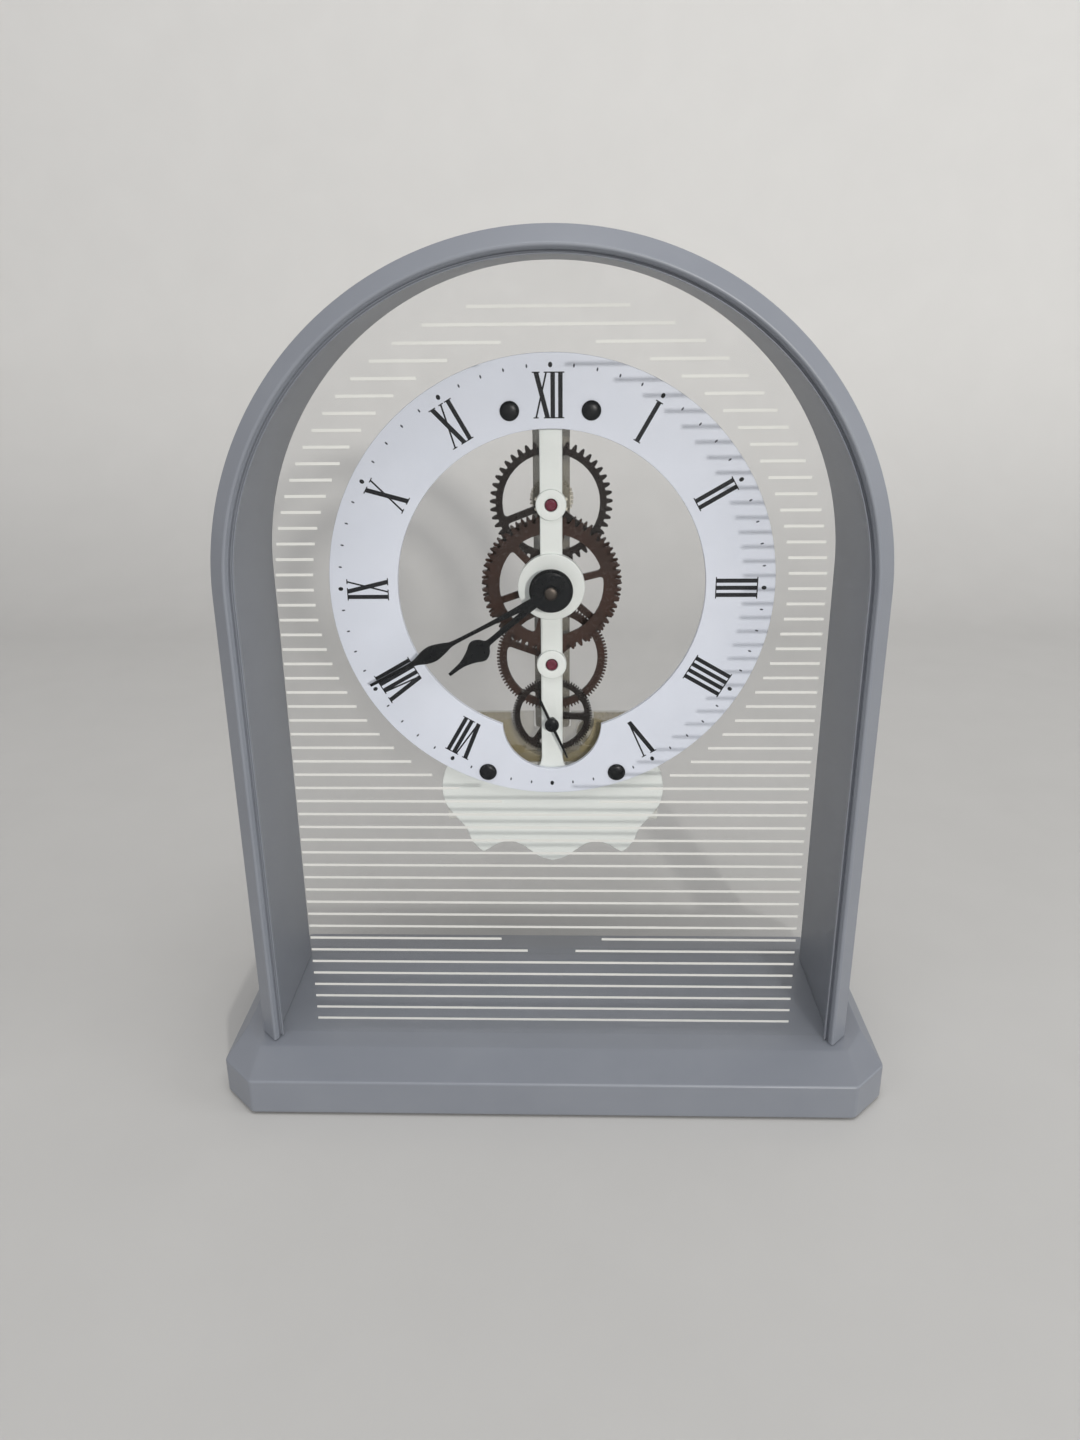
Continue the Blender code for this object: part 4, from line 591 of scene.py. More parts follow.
tree, size, index = grower("toothed_wheel", Teeth=48, Module=0.66, First=0.0, Root_share=0.68, Mid_share=0.49,
                           Tip_share=0.2, Gap=1.25, Thickness=1.0, Spokes=3, Rim=12.0, Hub=3.6, Spoke=1.7,
                           Spoke_bearing=0.0, Bore=0.0, Corner=0.7)
# each tooth has six points: root, flank, tip, tip, flank, root
tooth, corner = counted(tree, index, 6)
# the gaps reach `Gap` modules below the pitch circle, the tips one module above it
half_teeth = add(tree, "DIVIDE", size["Teeth"], 2.0)
gap = add(tree, "MULTIPLY", size["Gap"], -1.0)
levels = [add(tree, "MULTIPLY", add(tree, "ADD", half_teeth, step), size["Module"])
          for step in (gap, -0.1, 1.0)]
right = [size[f"{part} share"] for part in ("Root", "Mid", "Tip")]
left = [add(tree, "MULTIPLY", share, -1.0) for share in right]
reach = add(tree, "GeometryNodeIndexSwitch", data_type="FLOAT", Index=corner)
share = add(tree, "GeometryNodeIndexSwitch", data_type="FLOAT", Index=corner)
for node, values in ((reach, levels + levels[::-1]), (share, left + right[::-1])):
    while len(node.index_switch_items) < len(values):
        node.index_switch_items.new()
    filled(node, **{f"in{k}": value for k, value in enumerate(values, 1)})
steps = add(tree, "ADD", tooth, add(tree, "DIVIDE", share, 2.0))
turn = add(tree, "ADD", add(tree, "RADIANS", size["First"]),
           add(tree, "DIVIDE", add(tree, "MULTIPLY", steps, 2 * math.pi), size["Teeth"]))
blank = add(tree, "GeometryNodeCurvePrimitiveCircle", Resolution=add(tree, "MULTIPLY", size["Teeth"], 6.0))
teeth = add(tree, "GeometryNodeSetPosition", Geometry=blank, Position=polar(tree, reach, turn))
# each window between two spokes runs out along the rim and back along the hub
SIDE = 14                              # points on each of the two
pitch = add(tree, "DIVIDE", 2 * math.pi, size["Spokes"])
window, number = counted(tree, index, 2 * SIDE)
back = add(tree, "GREATER_THAN", number, SIDE - 0.5)
run = add(tree, "SUBTRACT", number, add(tree, "MULTIPLY", back, float(SIDE)))
run = add(tree, "DIVIDE", run, SIDE - 1.0)
half_spoke = add(tree, "DIVIDE", size["Spoke"], 2.0)
at_rim, at_hub = [add(tree, "ARCSINE", add(tree, "DIVIDE", half_spoke, size[end]))
                  for end in ("Rim", "Hub")]
span_rim, span_hub = [add(tree, "SUBTRACT", pitch, add(tree, "MULTIPLY", end, 2.0))
                      for end in (at_rim, at_hub)]
outward = add(tree, "ADD", at_rim, add(tree, "MULTIPLY", run, span_rim))
inward = add(tree, "SUBTRACT", add(tree, "SUBTRACT", pitch, at_hub), add(tree, "MULTIPLY", run, span_hub))
swing = add(tree, "ShaderNodeMix", in0=back, in2=outward, in3=inward)
radius = add(tree, "ShaderNodeMix", in0=back, in2=size["Rim"], in3=size["Hub"])
start = add(tree, "ADD", add(tree, "RADIANS", size["Spoke bearing"]), add(tree, "MULTIPLY", window, pitch))
frames = add(tree, "GeometryNodeDuplicateElements", domain="SPLINE", Amount=size["Spokes"],
             Geometry=add(tree, "GeometryNodeCurvePrimitiveCircle", Resolution=2 * SIDE))
frames = add(tree, "GeometryNodeSetPosition", Geometry=frames,
             Position=polar(tree, radius, add(tree, "ADD", start, swing)))
from_middle = add(tree, "ABSOLUTE", add(tree, "SUBTRACT", number, SIDE - 0.5))
at_corner = add(tree, "ADD", add(tree, "LESS_THAN", from_middle, 1.0),
                add(tree, "GREATER_THAN", from_middle, SIDE - 1.0))
frames = add(tree, "GeometryNodeFilletCurve", Curve=frames, mode="POLY", Count=3, Limit_Radius=True,
             Radius=add(tree, "MULTIPLY", at_corner, size["Corner"]))
bore = add(tree, "GeometryNodeCurvePrimitiveCircle", Resolution=32, Radius=size["Bore"])
lines = add(tree, "GeometryNodeJoinGeometry")
for drawn in (teeth, frames, bore):
    filled(lines, drawn)
face = add(tree, "GeometryNodeFillCurve", Curve=lines)
sides = add(tree, "GeometryNodeExtrudeMesh", Mesh=face, Offset=(0.0, 0.0, -1.0), Individual=False,
            Offset_Scale=size["Thickness"])
both = add(tree, "GeometryNodeJoinGeometry")
for drawn in (face, sides):
    filled(both, drawn)
finished(tree, both)
toothed_wheel = tree


def wheel(name, teeth, module, first, front, z, finish, bore=0.05, thickness=1.0, **form):
    """A wheel from `front` back. `Rim` is the rim's inner radius, `Spoke_bearing` the first spoke's."""
    return grown(name, toothed_wheel, finish, at=(0.0, front, z), sharp=30.0, Teeth=teeth, Module=module,
                 First=first, Bore=bore, Thickness=thickness, **form)


def pinion(name, teeth, module, first, front, back, z, finish=brown_acetal, bore=0.05):
    return wheel(name, teeth, module, first, front, z, finish, bore, back - front, Spokes=0, **SLENDER)


def spun(name, profile, finish, z=0.0, x=0.0, sides=48):
    """A turned or moulded round piece at (x, z) of the dial."""
    bm = lathe(profile, sides)
    to_place(bm, x, 0.0, z)
    return kept(name, bm, finish)


# Drawn steel arbors, polished where they turn.
steel = metal("polished_arbor_steel", "a4a5aa", "c4c5c9", 0.2)

CANNON_TEETH, MINUTE_TEETH = 18, 45
PALE_TEETH, HOUR_TEETH = 10, 48
CENTRE_TEETH, THIRD_LEAVES = 72, 12
THIRD_TEETH, SECONDS_LEAVES = 100, 10
SECONDS_TEETH = 90
MINUTE_MODULE = 2 * MINUTE_Z / (CANNON_TEETH + MINUTE_TEETH)
HOUR_MODULE = 2 * MINUTE_Z / (PALE_TEETH + HOUR_TEETH)
CENTRE_MODULE = 0.47
THIRD_MODULE = 0.278
SECONDS_MODULE = 0.225
PIVOT = 0.45                           # the radius of each thin arbor end
FRONT_PIVOT = 1.8
SHOULDER = 3.6
REAR_PIVOT = 11.0

hour = joined("hour_wheel_and_pipe",
              wheel("hour", HOUR_TEETH, HOUR_MODULE, meshing(180.0, PALE_TEETH, HOUR_TEETH, 180.0),
                    front=4.0, z=0.0, finish=brown_acetal, bore=1.9, Rim=12.8, Hub=4.4,
                    Spoke_bearing=76.0),
              spun("pipe", [(1.4, -3.3), (2.5, -3.3), (2.5, 5.0), (1.4, 5.0), (1.4, -3.3)], brown_acetal),
              spun("boss", [(2.4, 3.7), (3.6, 3.7), (3.9, 4.1), (2.4, 4.1)], brown_acetal))
fit(hour, "wheel", "hour_wheel", body="hour_pipe")
minute = joined("minute_wheel_and_arbor",
                wheel("minute", MINUTE_TEETH, MINUTE_MODULE, meshing(0.0, CANNON_TEETH, MINUTE_TEETH, 0.0),
                      front=5.4, z=MINUTE_Z, finish=dark_acetal, Rim=11.75, Spoke_bearing=9.0),
                spun("boss", [(0, 5.1), (2.6, 5.1), (3.0, 5.5), (3.0, 6.6), (0, 6.6)], brown_acetal,
                     z=MINUTE_Z),
                spun("arbor", [(0, FRONT_PIVOT), (PIVOT, FRONT_PIVOT), (PIVOT, SHOULDER), (1.2, SHOULDER),
                               (1.2, 17.7), (0, 17.7)], steel, z=MINUTE_Z))
fit(minute, "wheel", "minute_wheel", body="minute_wheel_arbor")
cannon = joined("cannon_pinion_and_arbor",
                pinion("cannon", CANNON_TEETH, MINUTE_MODULE, 0.0, front=5.3, back=6.5, z=0.0),
                spun("arbor", [(0, -6.28), (0.8, -6.28), (0.8, -5.2), (1.3, -5.2), (1.3, 8.8), (0, 8.8)],
                     steel))
fit(cannon, "wheel", "cannon_pinion", body="minute_arbor")
pale = pinion("pale_pinion", PALE_TEETH, HOUR_MODULE, 180.0, front=3.8, back=5.1, z=MINUTE_Z,
              finish=natural_acetal, bore=1.3)
fit(pale, "pinion", "minute_pinion", body="minute_wheel_arbor")

centre = joined("centre_wheel_and_hub",
                wheel("centre", CENTRE_TEETH, CENTRE_MODULE, 180.0, front=6.8, z=0.0, finish=brown_acetal,
                      bore=1.4, Rim=14.2, Spoke_bearing=11.0),
                spun("hub", [(1.4, 6.7), (2.6, 6.7), (2.6, 9.3), (0.9, 9.3), (0.9, REAR_PIVOT),
                             (0, REAR_PIVOT), (0, 8.9), (1.4, 8.9), (1.4, 6.7)], brown_acetal))
fit(centre, "wheel", "centre_wheel", body="centre_arbor")
third = joined("third_wheel_and_pinion",
               wheel("third", THIRD_TEETH, THIRD_MODULE, 180.0, front=8.2, z=THIRD_Z, finish=brown_acetal,
                     Rim=11.6, Hub=3.0, Spoke_bearing=50.0, Gap=1.7, **SLENDER),
               pinion("leaves", THIRD_LEAVES, CENTRE_MODULE,
                      meshing(180.0, CENTRE_TEETH, THIRD_LEAVES, 180.0), front=6.7, back=8.4, z=THIRD_Z),
               spun("arbor", [(0, FRONT_PIVOT), (PIVOT, FRONT_PIVOT), (PIVOT, SHOULDER), (0.9, SHOULDER),
                              (0.9, 9.4), (PIVOT, 9.4), (PIVOT, REAR_PIVOT), (0, REAR_PIVOT)], steel,
                    z=THIRD_Z))
fit(third, "wheel", "third_wheel", body="third_arbor")
seconds = joined("seconds_wheel_and_pinion",
                 wheel("seconds", SECONDS_TEETH, SECONDS_MODULE, 118.0, front=6.8, z=SECONDS_Z,
                       finish=dark_acetal, Rim=8.4, thickness=0.8, Hub=2.6, Spoke_bearing=92.0, Gap=1.9,
                       **SLENDER),
                 pinion("leaves", SECONDS_LEAVES, THIRD_MODULE,
                        meshing(180.0, THIRD_TEETH, SECONDS_LEAVES, 180.0), front=7.4, back=9.3,
                        z=SECONDS_Z),
                 spun("arbor", [(0, -1.2), (0.8, -1.2), (0.8, 9.4), (PIVOT, 9.4), (PIVOT, REAR_PIVOT),
                                (0, REAR_PIVOT)], steel, z=SECONDS_Z))
fit(seconds, "wheel", "seconds_wheel", body="seconds_arbor")


# Front plate and jewels
# One white ABS moulding is the bar in front of the wheels and the scalloped shroud that hides the
# battery. Two ruby bearings are pressed into its small bosses, the hour pipe turns in the big one.

SHROUD_EDGE = ((27.1, -46.5), (28.4, -49.9), (29.0, -54.3), (28.2, -58.3), (26.1, -61.5), (23.1, -65.3),
               (21.8, -68.7), (20.0, -71.2), (18.6, -72.2), (17.5, -71.8), (14.4, -69.9), (11.6, -69.3),
               (8.8, -70.0), (5.8, -72.1), (3.2, -74.0), (0.0, -74.9))


def flowing(points, steps=4):
    """A smooth line through the points given, open at both ends."""
    ends = [Vector(points[0]) * 2 - Vector(points[1]), *map(Vector, points),
            Vector(points[-1]) * 2 - Vector(points[-2])]
    line = []
    for a, b, c, d in zip(ends, ends[1:], ends[2:], ends[3:]):
        for s in range(steps):
            t = s / steps
            line.append(tuple(0.5 * (2 * b + (c - a) * t + (2 * a - 5 * b + 4 * c - d) * t * t
                                     + (3 * b - a - 3 * c + d) * t * t * t)))
    return line + [tuple(points[-1])]


# Warm white ABS with a soft sheen, a little greener than the dial in front of it.
plate_white = moulded("warm_white_moulded_abs", "e1e5e2", "eaeeeb", 0.4, grit=0.45, relief=0.003)
LOWER_SCREW = (16.6, -48.3)
HALF_BAR = 2.7
NECK = [(12.4, 44.4), (12.4, 38.4), (HALF_BAR, 38.4), (HALF_BAR, -45.0), (3.0, -46.6), (3.9, -48.13),
        (12.0, -48.13), (13.5, -45.2), (24.0, -45.2)]
JEWEL_HOLE = 1.53
PIPE_HOLE = 2.6
SMALL_BOSS = 3.7
LARGE_BOSS = 8.2
BOSS_FRONT = 0.9
PLATE_FRONT = 1.8
PLATE_BACK = 3.4
right_edge = NECK + flowing(SHROUD_EDGE)
outline = right_edge + [(-x, z) for x, z in reversed(right_edge[:-1])]
holes = [circle(x, z, SCREW_HOLE, 24) for place in (UPPER_SCREW, LOWER_SCREW) for x, z in mirrored(place)]
holes += [circle(0.0, MINUTE_Z, JEWEL_HOLE, 32), circle(0.0, THIRD_Z, JEWEL_HOLE, 32),
          circle(0.0, 0.0, PIPE_HOLE, 48), circle(0.0, SECONDS_Z, 1.0, 24)]
parts = [cut_sheet("plate", [outline] + holes, PLATE_FRONT, PLATE_BACK, edge=0.25, finish=plate_white)]
# the bosses end just inside the plate's back
boss_back = PLATE_BACK - 0.1
for z, boss, hole in ((MINUTE_Z, SMALL_BOSS, JEWEL_HOLE), (THIRD_Z, SMALL_BOSS, JEWEL_HOLE),
                      (0.0, LARGE_BOSS, PIPE_HOLE)):
    ring = [(hole, boss_back), (hole, BOSS_FRONT), (boss, BOSS_FRONT), (boss, boss_back), (hole, boss_back)]
    parts.append(spun("boss", eased(ring, 0.3, 4), plate_white, z, sides=72))
fit(joined("crossbar_and_shroud", *parts), "plate", "front_plate")


# Synthetic ruby, turned and polished: deep crimson with a hard bright glint.
def polished_ruby():
    finish, tree, shader, where = material("polished_synthetic_ruby")
    cloud = add(tree, "ShaderNodeTexNoise", Vector=where, Scale=1 / (0.8 * MM), Detail=2.0)
    tone = add(tree, "ShaderNodeMix", data_type="RGBA", in0=cloud, in6=linear("4a0c23"), in7=linear("7a1735"))
    filled(shader, Base_Color=tone.outputs[2], Roughness=0.06, IOR=1.55)
    return finish


ruby = polished_ruby()
stone = [(0.0, 0.72), (0.3, 0.78), (0.5, 0.7), (1.0, 0.72), (1.3, 0.85), (1.43, 1.1), (1.43, 3.4),
         (0.55, 3.4), (0.55, 1.5), (0.0, 1.5)]
for name, z in (("jewel_upper", MINUTE_Z), ("jewel_lower", THIRD_Z)):
    fit(spun(f"{name}_stone", stone, ruby, z, sides=40), "jewel", name)


# Chapter ring
# A 1.5 mm white ring, notched for the small seconds and screwed to the bar and the tray. Numerals,
# hour dots and minute marks are pad-printed on it in black, a few hundredths of a millimetre thick.

RING_OUTER = 54.1
RING_INNER = 37.4
NOTCH = 12.5
MARK_RADIUS = 51.4
NUMERAL_FOOT = 39.7
NUMERAL_HEAD = 49.9
# where the notch's circle crosses the ring's inner one
drop = -SECONDS_Z
along = (drop ** 2 + RING_INNER ** 2 - NOTCH ** 2) / (2 * drop)
across = math.sqrt(RING_INNER ** 2 - along ** 2)
on_ring = 180.0 - math.degrees(math.atan2(across, along))
on_notch = math.degrees(math.atan2(across, drop - along))
opening = arc(0.0, 0.0, RING_INNER, -on_ring, on_ring, 128)
opening += arc(0.0, SECONDS_Z, NOTCH, on_notch, 360.0 - on_notch, 48)[1:-1]
# Cool white lacquer on ABS: even and satin, with the faintest orange peel.
dial_white = moulded("cool_white_lacquered_abs", "dce1ed", "e3e7f2", 0.34, grit=1.2, relief=0.003)
rim = circle(0.0, 0.0, RING_OUTER, 192)
ring = cut_sheet("chapter_ring", [rim, opening], front=0.0, back=1.5, edge=0.15, finish=dial_white)
fit(ring, "dial", "dial_ring")


def printing_ink(name, dark, light):
    """Pad-printing ink: thin, matt, and slightly uneven where the pad lifted."""
    return moulded(name, dark, light, 0.55, grit=0.3, relief=0.002, ior=1.33)


black_ink = printing_ink("black_pad_printing_ink", "0e0f14", "191a20")
grey_ink = printing_ink("thin_black_pad_printing_ink", "3b3d46", "5a5d68")


# a stroke is its place at the head, its place at the foot, its width and its kind
LOW_SERIF, THICK, HIGH_SERIF, THIN = 0, 1, 2, 3
STEM = 1.02
SLANT = 1.1
HAIRLINE = 0.4
LONG_SERIF = 1.8
SHORT_SERIF = 1.2


def upright(x):
    """The numeral I: one thick stroke between two hairline serifs."""
    return [(x, x, STEM, THICK), (x, x, LONG_SERIF, LOW_SERIF), (x, x, LONG_SERIF, HIGH_SERIF)]


def vee(left, foot, right):
    return [(left, foot, SLANT, THICK), (right, foot + 0.1, HAIRLINE, THIN),
            (left, left, LONG_SERIF, HIGH_SERIF), (right, right, SHORT_SERIF, HIGH_SERIF)]


def cross(left, foot, right, left_foot):
    return [(left, foot, SLANT, THICK), (right, left_foot, HAIRLINE, THIN),
            (left, left, LONG_SERIF, HIGH_SERIF), (right, right, SHORT_SERIF, HIGH_SERIF),
            (left_foot, left_foot, SHORT_SERIF, LOW_SERIF), (foot, foot, LONG_SERIF, LOW_SERIF)]


NUMERALS = {
    1: upright(0.0),
    2: upright(-0.87) + upright(0.87),
    3: upright(-1.75) + upright(0.0) + upright(1.75),
    4: upright(-2.6) + upright(-0.87) + upright(0.87) + upright(2.6),
    5: vee(-1.2, 0.35, 1.5),
    7: vee(-2.8, -1.4, -0.15) + upright(0.5) + upright(2.1),
    8: vee(-4.4, -2.95, -1.85) + upright(-1.4) + upright(0.35) + upright(2.1),
    9: upright(-2.0) + cross(-0.7, 1.75, 1.8, -0.8),
    10: cross(-1.35, 1.35, 1.3, -1.4),
    11: cross(-2.7, 0.0, -0.3, -2.6) + upright(1.5),
    12: cross(-3.3, -0.6, -0.9, -3.3) + upright(0.55) + upright(2.3),
}
SERIF = 0.26
ROWS = {LOW_SERIF: (NUMERAL_FOOT, NUMERAL_FOOT + SERIF), HIGH_SERIF: (NUMERAL_HEAD - SERIF, NUMERAL_HEAD)}
bm = bmesh.new()
for hour_mark, strokes in NUMERALS.items():
    dx, dz = bearing(30.0 * hour_mark)
    for head, foot, width, kind in strokes:
        low, high = ROWS.get(kind, (NUMERAL_FOOT, NUMERAL_HEAD))
        flat = [(foot - width / 2, low), (foot + width / 2, low), (head + width / 2, high),
                (head - width / 2, high)]
        # each kind of stroke has a level of its own, so that no two share a plane
        bridged(bm, [[dial_place(u * dz + v * dx, depth, v * dz - u * dx) for u, v in flat]
                     for depth in (-0.02 - 0.004 * kind, 0.01)])
fit(laid("numerals", bm, black_ink), "hand")

tree, size, index = grower("marks_round_the_ring", Count=60, Every=5, Keep_hours=0, Radius=MARK_RADIUS,
                           Width=0.42, Length=0.9, Thickness=0.03)
turn = add(tree, "DIVIDE", add(tree, "MULTIPLY", index, 2 * math.pi), size["Count"])
places = add(tree, "GeometryNodePoints", Count=size["Count"], Position=polar(tree, size["Radius"], turn))
is_hour = add(tree, "LESS_THAN", add(tree, "MODULO", index, size["Every"]), 0.5)
chosen = add(tree, "COMPARE", is_hour, size["Keep hours"], 0.1)
mark = add(tree, "GeometryNodeMeshCylinder", Vertices=8, Radius=0.5, Depth=1.0)
spin = add(tree, "ShaderNodeCombineXYZ", Z=add(tree, "MULTIPLY", turn, -1.0))
shape = add(tree, "ShaderNodeCombineXYZ", X=size["Width"], Y=size["Length"], Z=size["Thickness"])
finished(tree, add(tree, "GeometryNodeInstanceOnPoints", Points=places, Selection=chosen, Instance=mark,
                   Rotation=spin, Scale=shape))
fit(grown("minute_marks", tree, grey_ink, at=(0.0, -0.005, 0.0)), "hand")
fit(grown("hour_dots", tree, black_ink, at=(0.0, -0.008, 0.0), Keep_hours=1, Width=1.0, Length=1.25), "hand")


# Dial screws
# Two screws beside XII and two beside the small seconds hold the ring to the plate behind it. They
# are cut from black nylon rod, with plain low domed heads.

# Turned nylon: nearly black, with the soft shine that the cutter leaves.
black_nylon = moulded("black_turned_nylon", "0e0f12", "17181c", 0.32, grit=0.35, relief=0.006, ior=1.3)
dome = [(0.0, -0.9), (0.9, -0.86), (1.6, -0.72), (2.05, -0.5), (2.25, -0.26), (2.25, -0.16), (2.17, -0.1),
        (1.2, -0.1), (1.2, 5.9), (1.0, 6.1), (0.0, 6.1)]
for number, (x, z) in enumerate(mirrored(UPPER_SCREW) + mirrored(LOWER_SCREW), 1):
    head = spun(f"dial_screw_head_{number}", dome, black_nylon, z, x, sides=40)
    fit(head, "screw_black", f"dial_screw_{number}")


# Hands
# All three are stamped from 0.6 mm sheet and lacquered black; a leaf opens before each tip of the
# two long ones. The hour hand sits on its pipe, the minute hand is held by the small round nut.

HOUR_TURN = 230.217
MINUTE_TURN = 242.6
SECOND_TURN = 156.0
HOUR_HUB = 5.3
MINUTE_HUB = 4.8
SECOND_HUB = 1.8
TAIL_HALF = 0.35


def leaf(turn, stations, smooth=True):
    """The outline of a blade: (distance, half width) from the pivot to its tip and back."""
    dx, dz = bearing(turn)
    edge = flowing(stations, 4) if smooth else list(stations)
    out = [(d * dx - w * dz, d * dz + w * dx) for d, w in edge]
    back = [(d * dx + w * dz, d * dz - w * dx) for d, w in reversed(edge)]
    return out + back


def hand_outline(turn, hub, stations):
    """A round hub that opens into the blade."""
    root = math.degrees(math.asin(stations[0][1] / hub))
    return arc(0.0, 0.0, hub, turn + root, turn + 360.0 - root, 72) + leaf(turn, stations)


# Gloss lacquer on stamped sheet: near black with a small sharp glint at the rounded edges.
hand_black = moulded("black_lacquered_steel", "0a0b0e", "111216", 0.26, grit=1.0, relief=0.002, ior=1.28)
hour_leaf = [(6.58, 0.85), (13.0, 0.74), (19.08, 0.72), (20.4, 0.95), (21.39, 2.1), (22.7, 2.85), (24.0, 2.8),
             (25.66, 1.85), (28.3, 0.85), (30.6, 0.55), (32.9, 0.4)]
minute_leaf = [(6.55, 1.0), (10.08, 0.75), (18.14, 0.5), (26.7, 0.55), (29.2, 1.2), (32.3, 2.0), (34.8, 1.75),
               (38.3, 0.66), (44.0, 0.48), (50.4, 0.35)]
loops = [hand_outline(HOUR_TURN, HOUR_HUB, hour_leaf), circle(0, 0, 2.6)]
blade = cut_sheet("hour_hand_stamping", loops, front=-3.3, back=-2.7, edge=0.1, finish=hand_black)
fit(blade, "hand", "hour_hand", body="hour_pipe")
loops = [hand_outline(MINUTE_TURN, MINUTE_HUB, minute_leaf), circle(0, 0, 1.4)]
blade = cut_sheet("minute_hand_stamping", loops, front=-5.2, back=-4.6, edge=0.1, finish=hand_black)
fit(blade, "hand", "minute_hand", body="minute_arbor")
tail_turn = SECOND_TURN + 180.0
root = math.degrees(math.asin(TAIL_HALF / SECOND_HUB))
line = arc(0.0, 0.0, SECOND_HUB, SECOND_TURN + root, tail_turn - root, 20)
line += leaf(tail_turn, [(7.0, TAIL_HALF), (7.2, 0.2)], smooth=False)
line += arc(0.0, 0.0, SECOND_HUB, tail_turn + root, tail_turn + 180.0 - root, 20)
line += leaf(SECOND_TURN, [(9.5, 0.2), (9.7, 0.1)], smooth=False)
loops = [[(x, z + SECONDS_Z) for x, z in line], circle(0.0, SECONDS_Z, 0.9, 24)]
cap = [(0.0, -1.52), (0.9, -1.5), (1.3, -1.42), (1.45, -1.3), (1.0, -1.24), (0.0, -1.24)]
blade = cut_sheet("second_hand_blade", loops, front=-1.4, back=-0.8, edge=0.06, finish=hand_black)
blade = joined("second_hand_stamping", blade, spun("cap", cap, hand_black, z=SECONDS_Z))
fit(blade, "hand", "second_hand", body="seconds_arbor")

# Plain turned brass that has dulled to a grey brown, with the lathe's fine rings.
dull_brass = metal("dulled_turned_brass", "413b37", "57504a", 0.4, marks=0.25, stretch=(1.0, 6.0, 1.0))
cup = [(0.0, -6.7), (0.7, -6.68), (1.2, -6.6), (1.5, -6.45), (1.6, -6.25), (1.6, -5.38), (1.52, -5.3),
       (0.9, -5.3), (0.9, -6.33), (0.0, -6.33)]
fit(spun("hand_nut_cap", cup, dull_brass, sides=40), "nut", "hand_nut", body="minute_arbor")


# Pane screws and setting knob
# Six zinc-plated screws hold the movement against the rear pane. The knurled knob of natural
# acetal is pressed on the minute wheel's arbor behind it, to set the hands.

crown = [(0.0, 14.8), (0.95, 14.77), (1.6, 14.66), (2.05, 14.5), (2.25, 14.3), (2.25, 14.06),
         (2.19, 14.0), (1.2, 14.0), (1.2, 8.5), (0.9, 8.2), (0.0, 8.2)]
for number, (x, z) in enumerate(mirrored(UPPER_SCREW) + mirrored(EARS) + mirrored(TRAY_EARS), 1):
    head = spun(f"pane_screw_head_{number}", crown, zinc, z, x, sides=40)
    fit(head, "screw_steel", f"pane_screw_{number}")

knurl = wheel("knurl", 32, 0.317, 0.0, front=15.8, z=MINUTE_Z, finish=natural_acetal, bore=0.3,
              thickness=5.2, Spokes=0, Root_share=0.44, Mid_share=0.3, Tip_share=0.2)
grip = [(0.0, 18.0), (1.3, 18.0), (1.3, 14.1), (3.4, 14.1), (3.4, 15.1), (4.4, 15.4), (4.95, 15.7),
        (4.95, 21.1), (4.8, 21.45), (4.4, 21.6), (2.2, 21.6), (1.4, 21.3), (0.0, 21.25)]
knob = joined("knurled_knob", spun("grip", grip, natural_acetal, z=MINUTE_Z, sides=72), knurl)
fit(knob, "pinion", "setting_knob", body="minute_wheel_arbor")


# Front pane
# A clear acrylic sheet behind the case's lip. White stripes are screen-printed on its back: short
# ones down both sides of the dial, and unbroken ones below it.

FRONT_PANE = (-24.7, -23.2)
FRONT_PANE_HALF = 70.3
INK_STANDS_OFF = 0.02
STRIPE_OVERLAP = 0.12                  # how far each stripe reaches past the inner circle
SHORTEST_STRIPE = 0.8
fit(cut_sheet("front_glazing", [pane_loop(FRONT_PANE_HALF)], *FRONT_PANE, PANE_EDGE, acrylic), "pane",
    "front_pane")

# Screen-printing ink: thin, even and matt, white with a trace of yellow.
white_ink = printing_ink("white_screen_printing_ink", "d2d2ce", "dededa")
tree, size, index = grower("printed_stripes", Rows=51, Pitch=3.412, Width=0.62, Top=63.0, Outer=60.5,
                           Inner=52.3, Centre=4.8, First_gap_row=43, First_gap=12.5, Next_gap=6.0,
                           Thickness=0.05)
# each row has two stripes, a left one and a right one
row, end = counted(tree, index, 2)
side = add(tree, "SUBTRACT", add(tree, "MULTIPLY", end, 2.0), 1.0)
level = add(tree, "SUBTRACT", size["Top"], add(tree, "MULTIPLY", row, size["Pitch"]))
height = add(tree, "SUBTRACT", level, size["Centre"])


def half_chord(tree, radius, height):
    """Half the width of a circle at a height above its centre."""
    square = add(tree, "SUBTRACT", add(tree, "POWER", radius, 2.0), add(tree, "POWER", height, 2.0))
    return add(tree, "SQRT", add(tree, "MAXIMUM", square, 0.01))


outer_end = half_chord(tree, size["Outer"], add(tree, "MAXIMUM", height, 0.0))
# two rows near the foot stop short of the middle
past = add(tree, "SUBTRACT", row, size["First gap row"])
gaps = [add(tree, "MULTIPLY", add(tree, "COMPARE", past, k, 0.1), size[name])
        for k, name in ((0.0, "First gap"), (1.0, "Next gap"))]
inner_end = add(tree, "ADD", half_chord(tree, size["Inner"], height), add(tree, "ADD", *gaps))
inner_end = add(tree, "SUBTRACT", inner_end, STRIPE_OVERLAP)
length = add(tree, "SUBTRACT", outer_end, inner_end)
middle = add(tree, "DIVIDE", add(tree, "ADD", outer_end, inner_end), 2.0)
place = add(tree, "ShaderNodeCombineXYZ", X=add(tree, "MULTIPLY", side, middle), Y=level)
places = add(tree, "GeometryNodePoints", Count=add(tree, "MULTIPLY", size["Rows"], 2.0), Position=place)
shown = add(tree, "GREATER_THAN", length, SHORTEST_STRIPE)
shape = add(tree, "ShaderNodeCombineXYZ", X=length, Y=size["Width"], Z=size["Thickness"])
strip = add(tree, "GeometryNodeMeshCube")
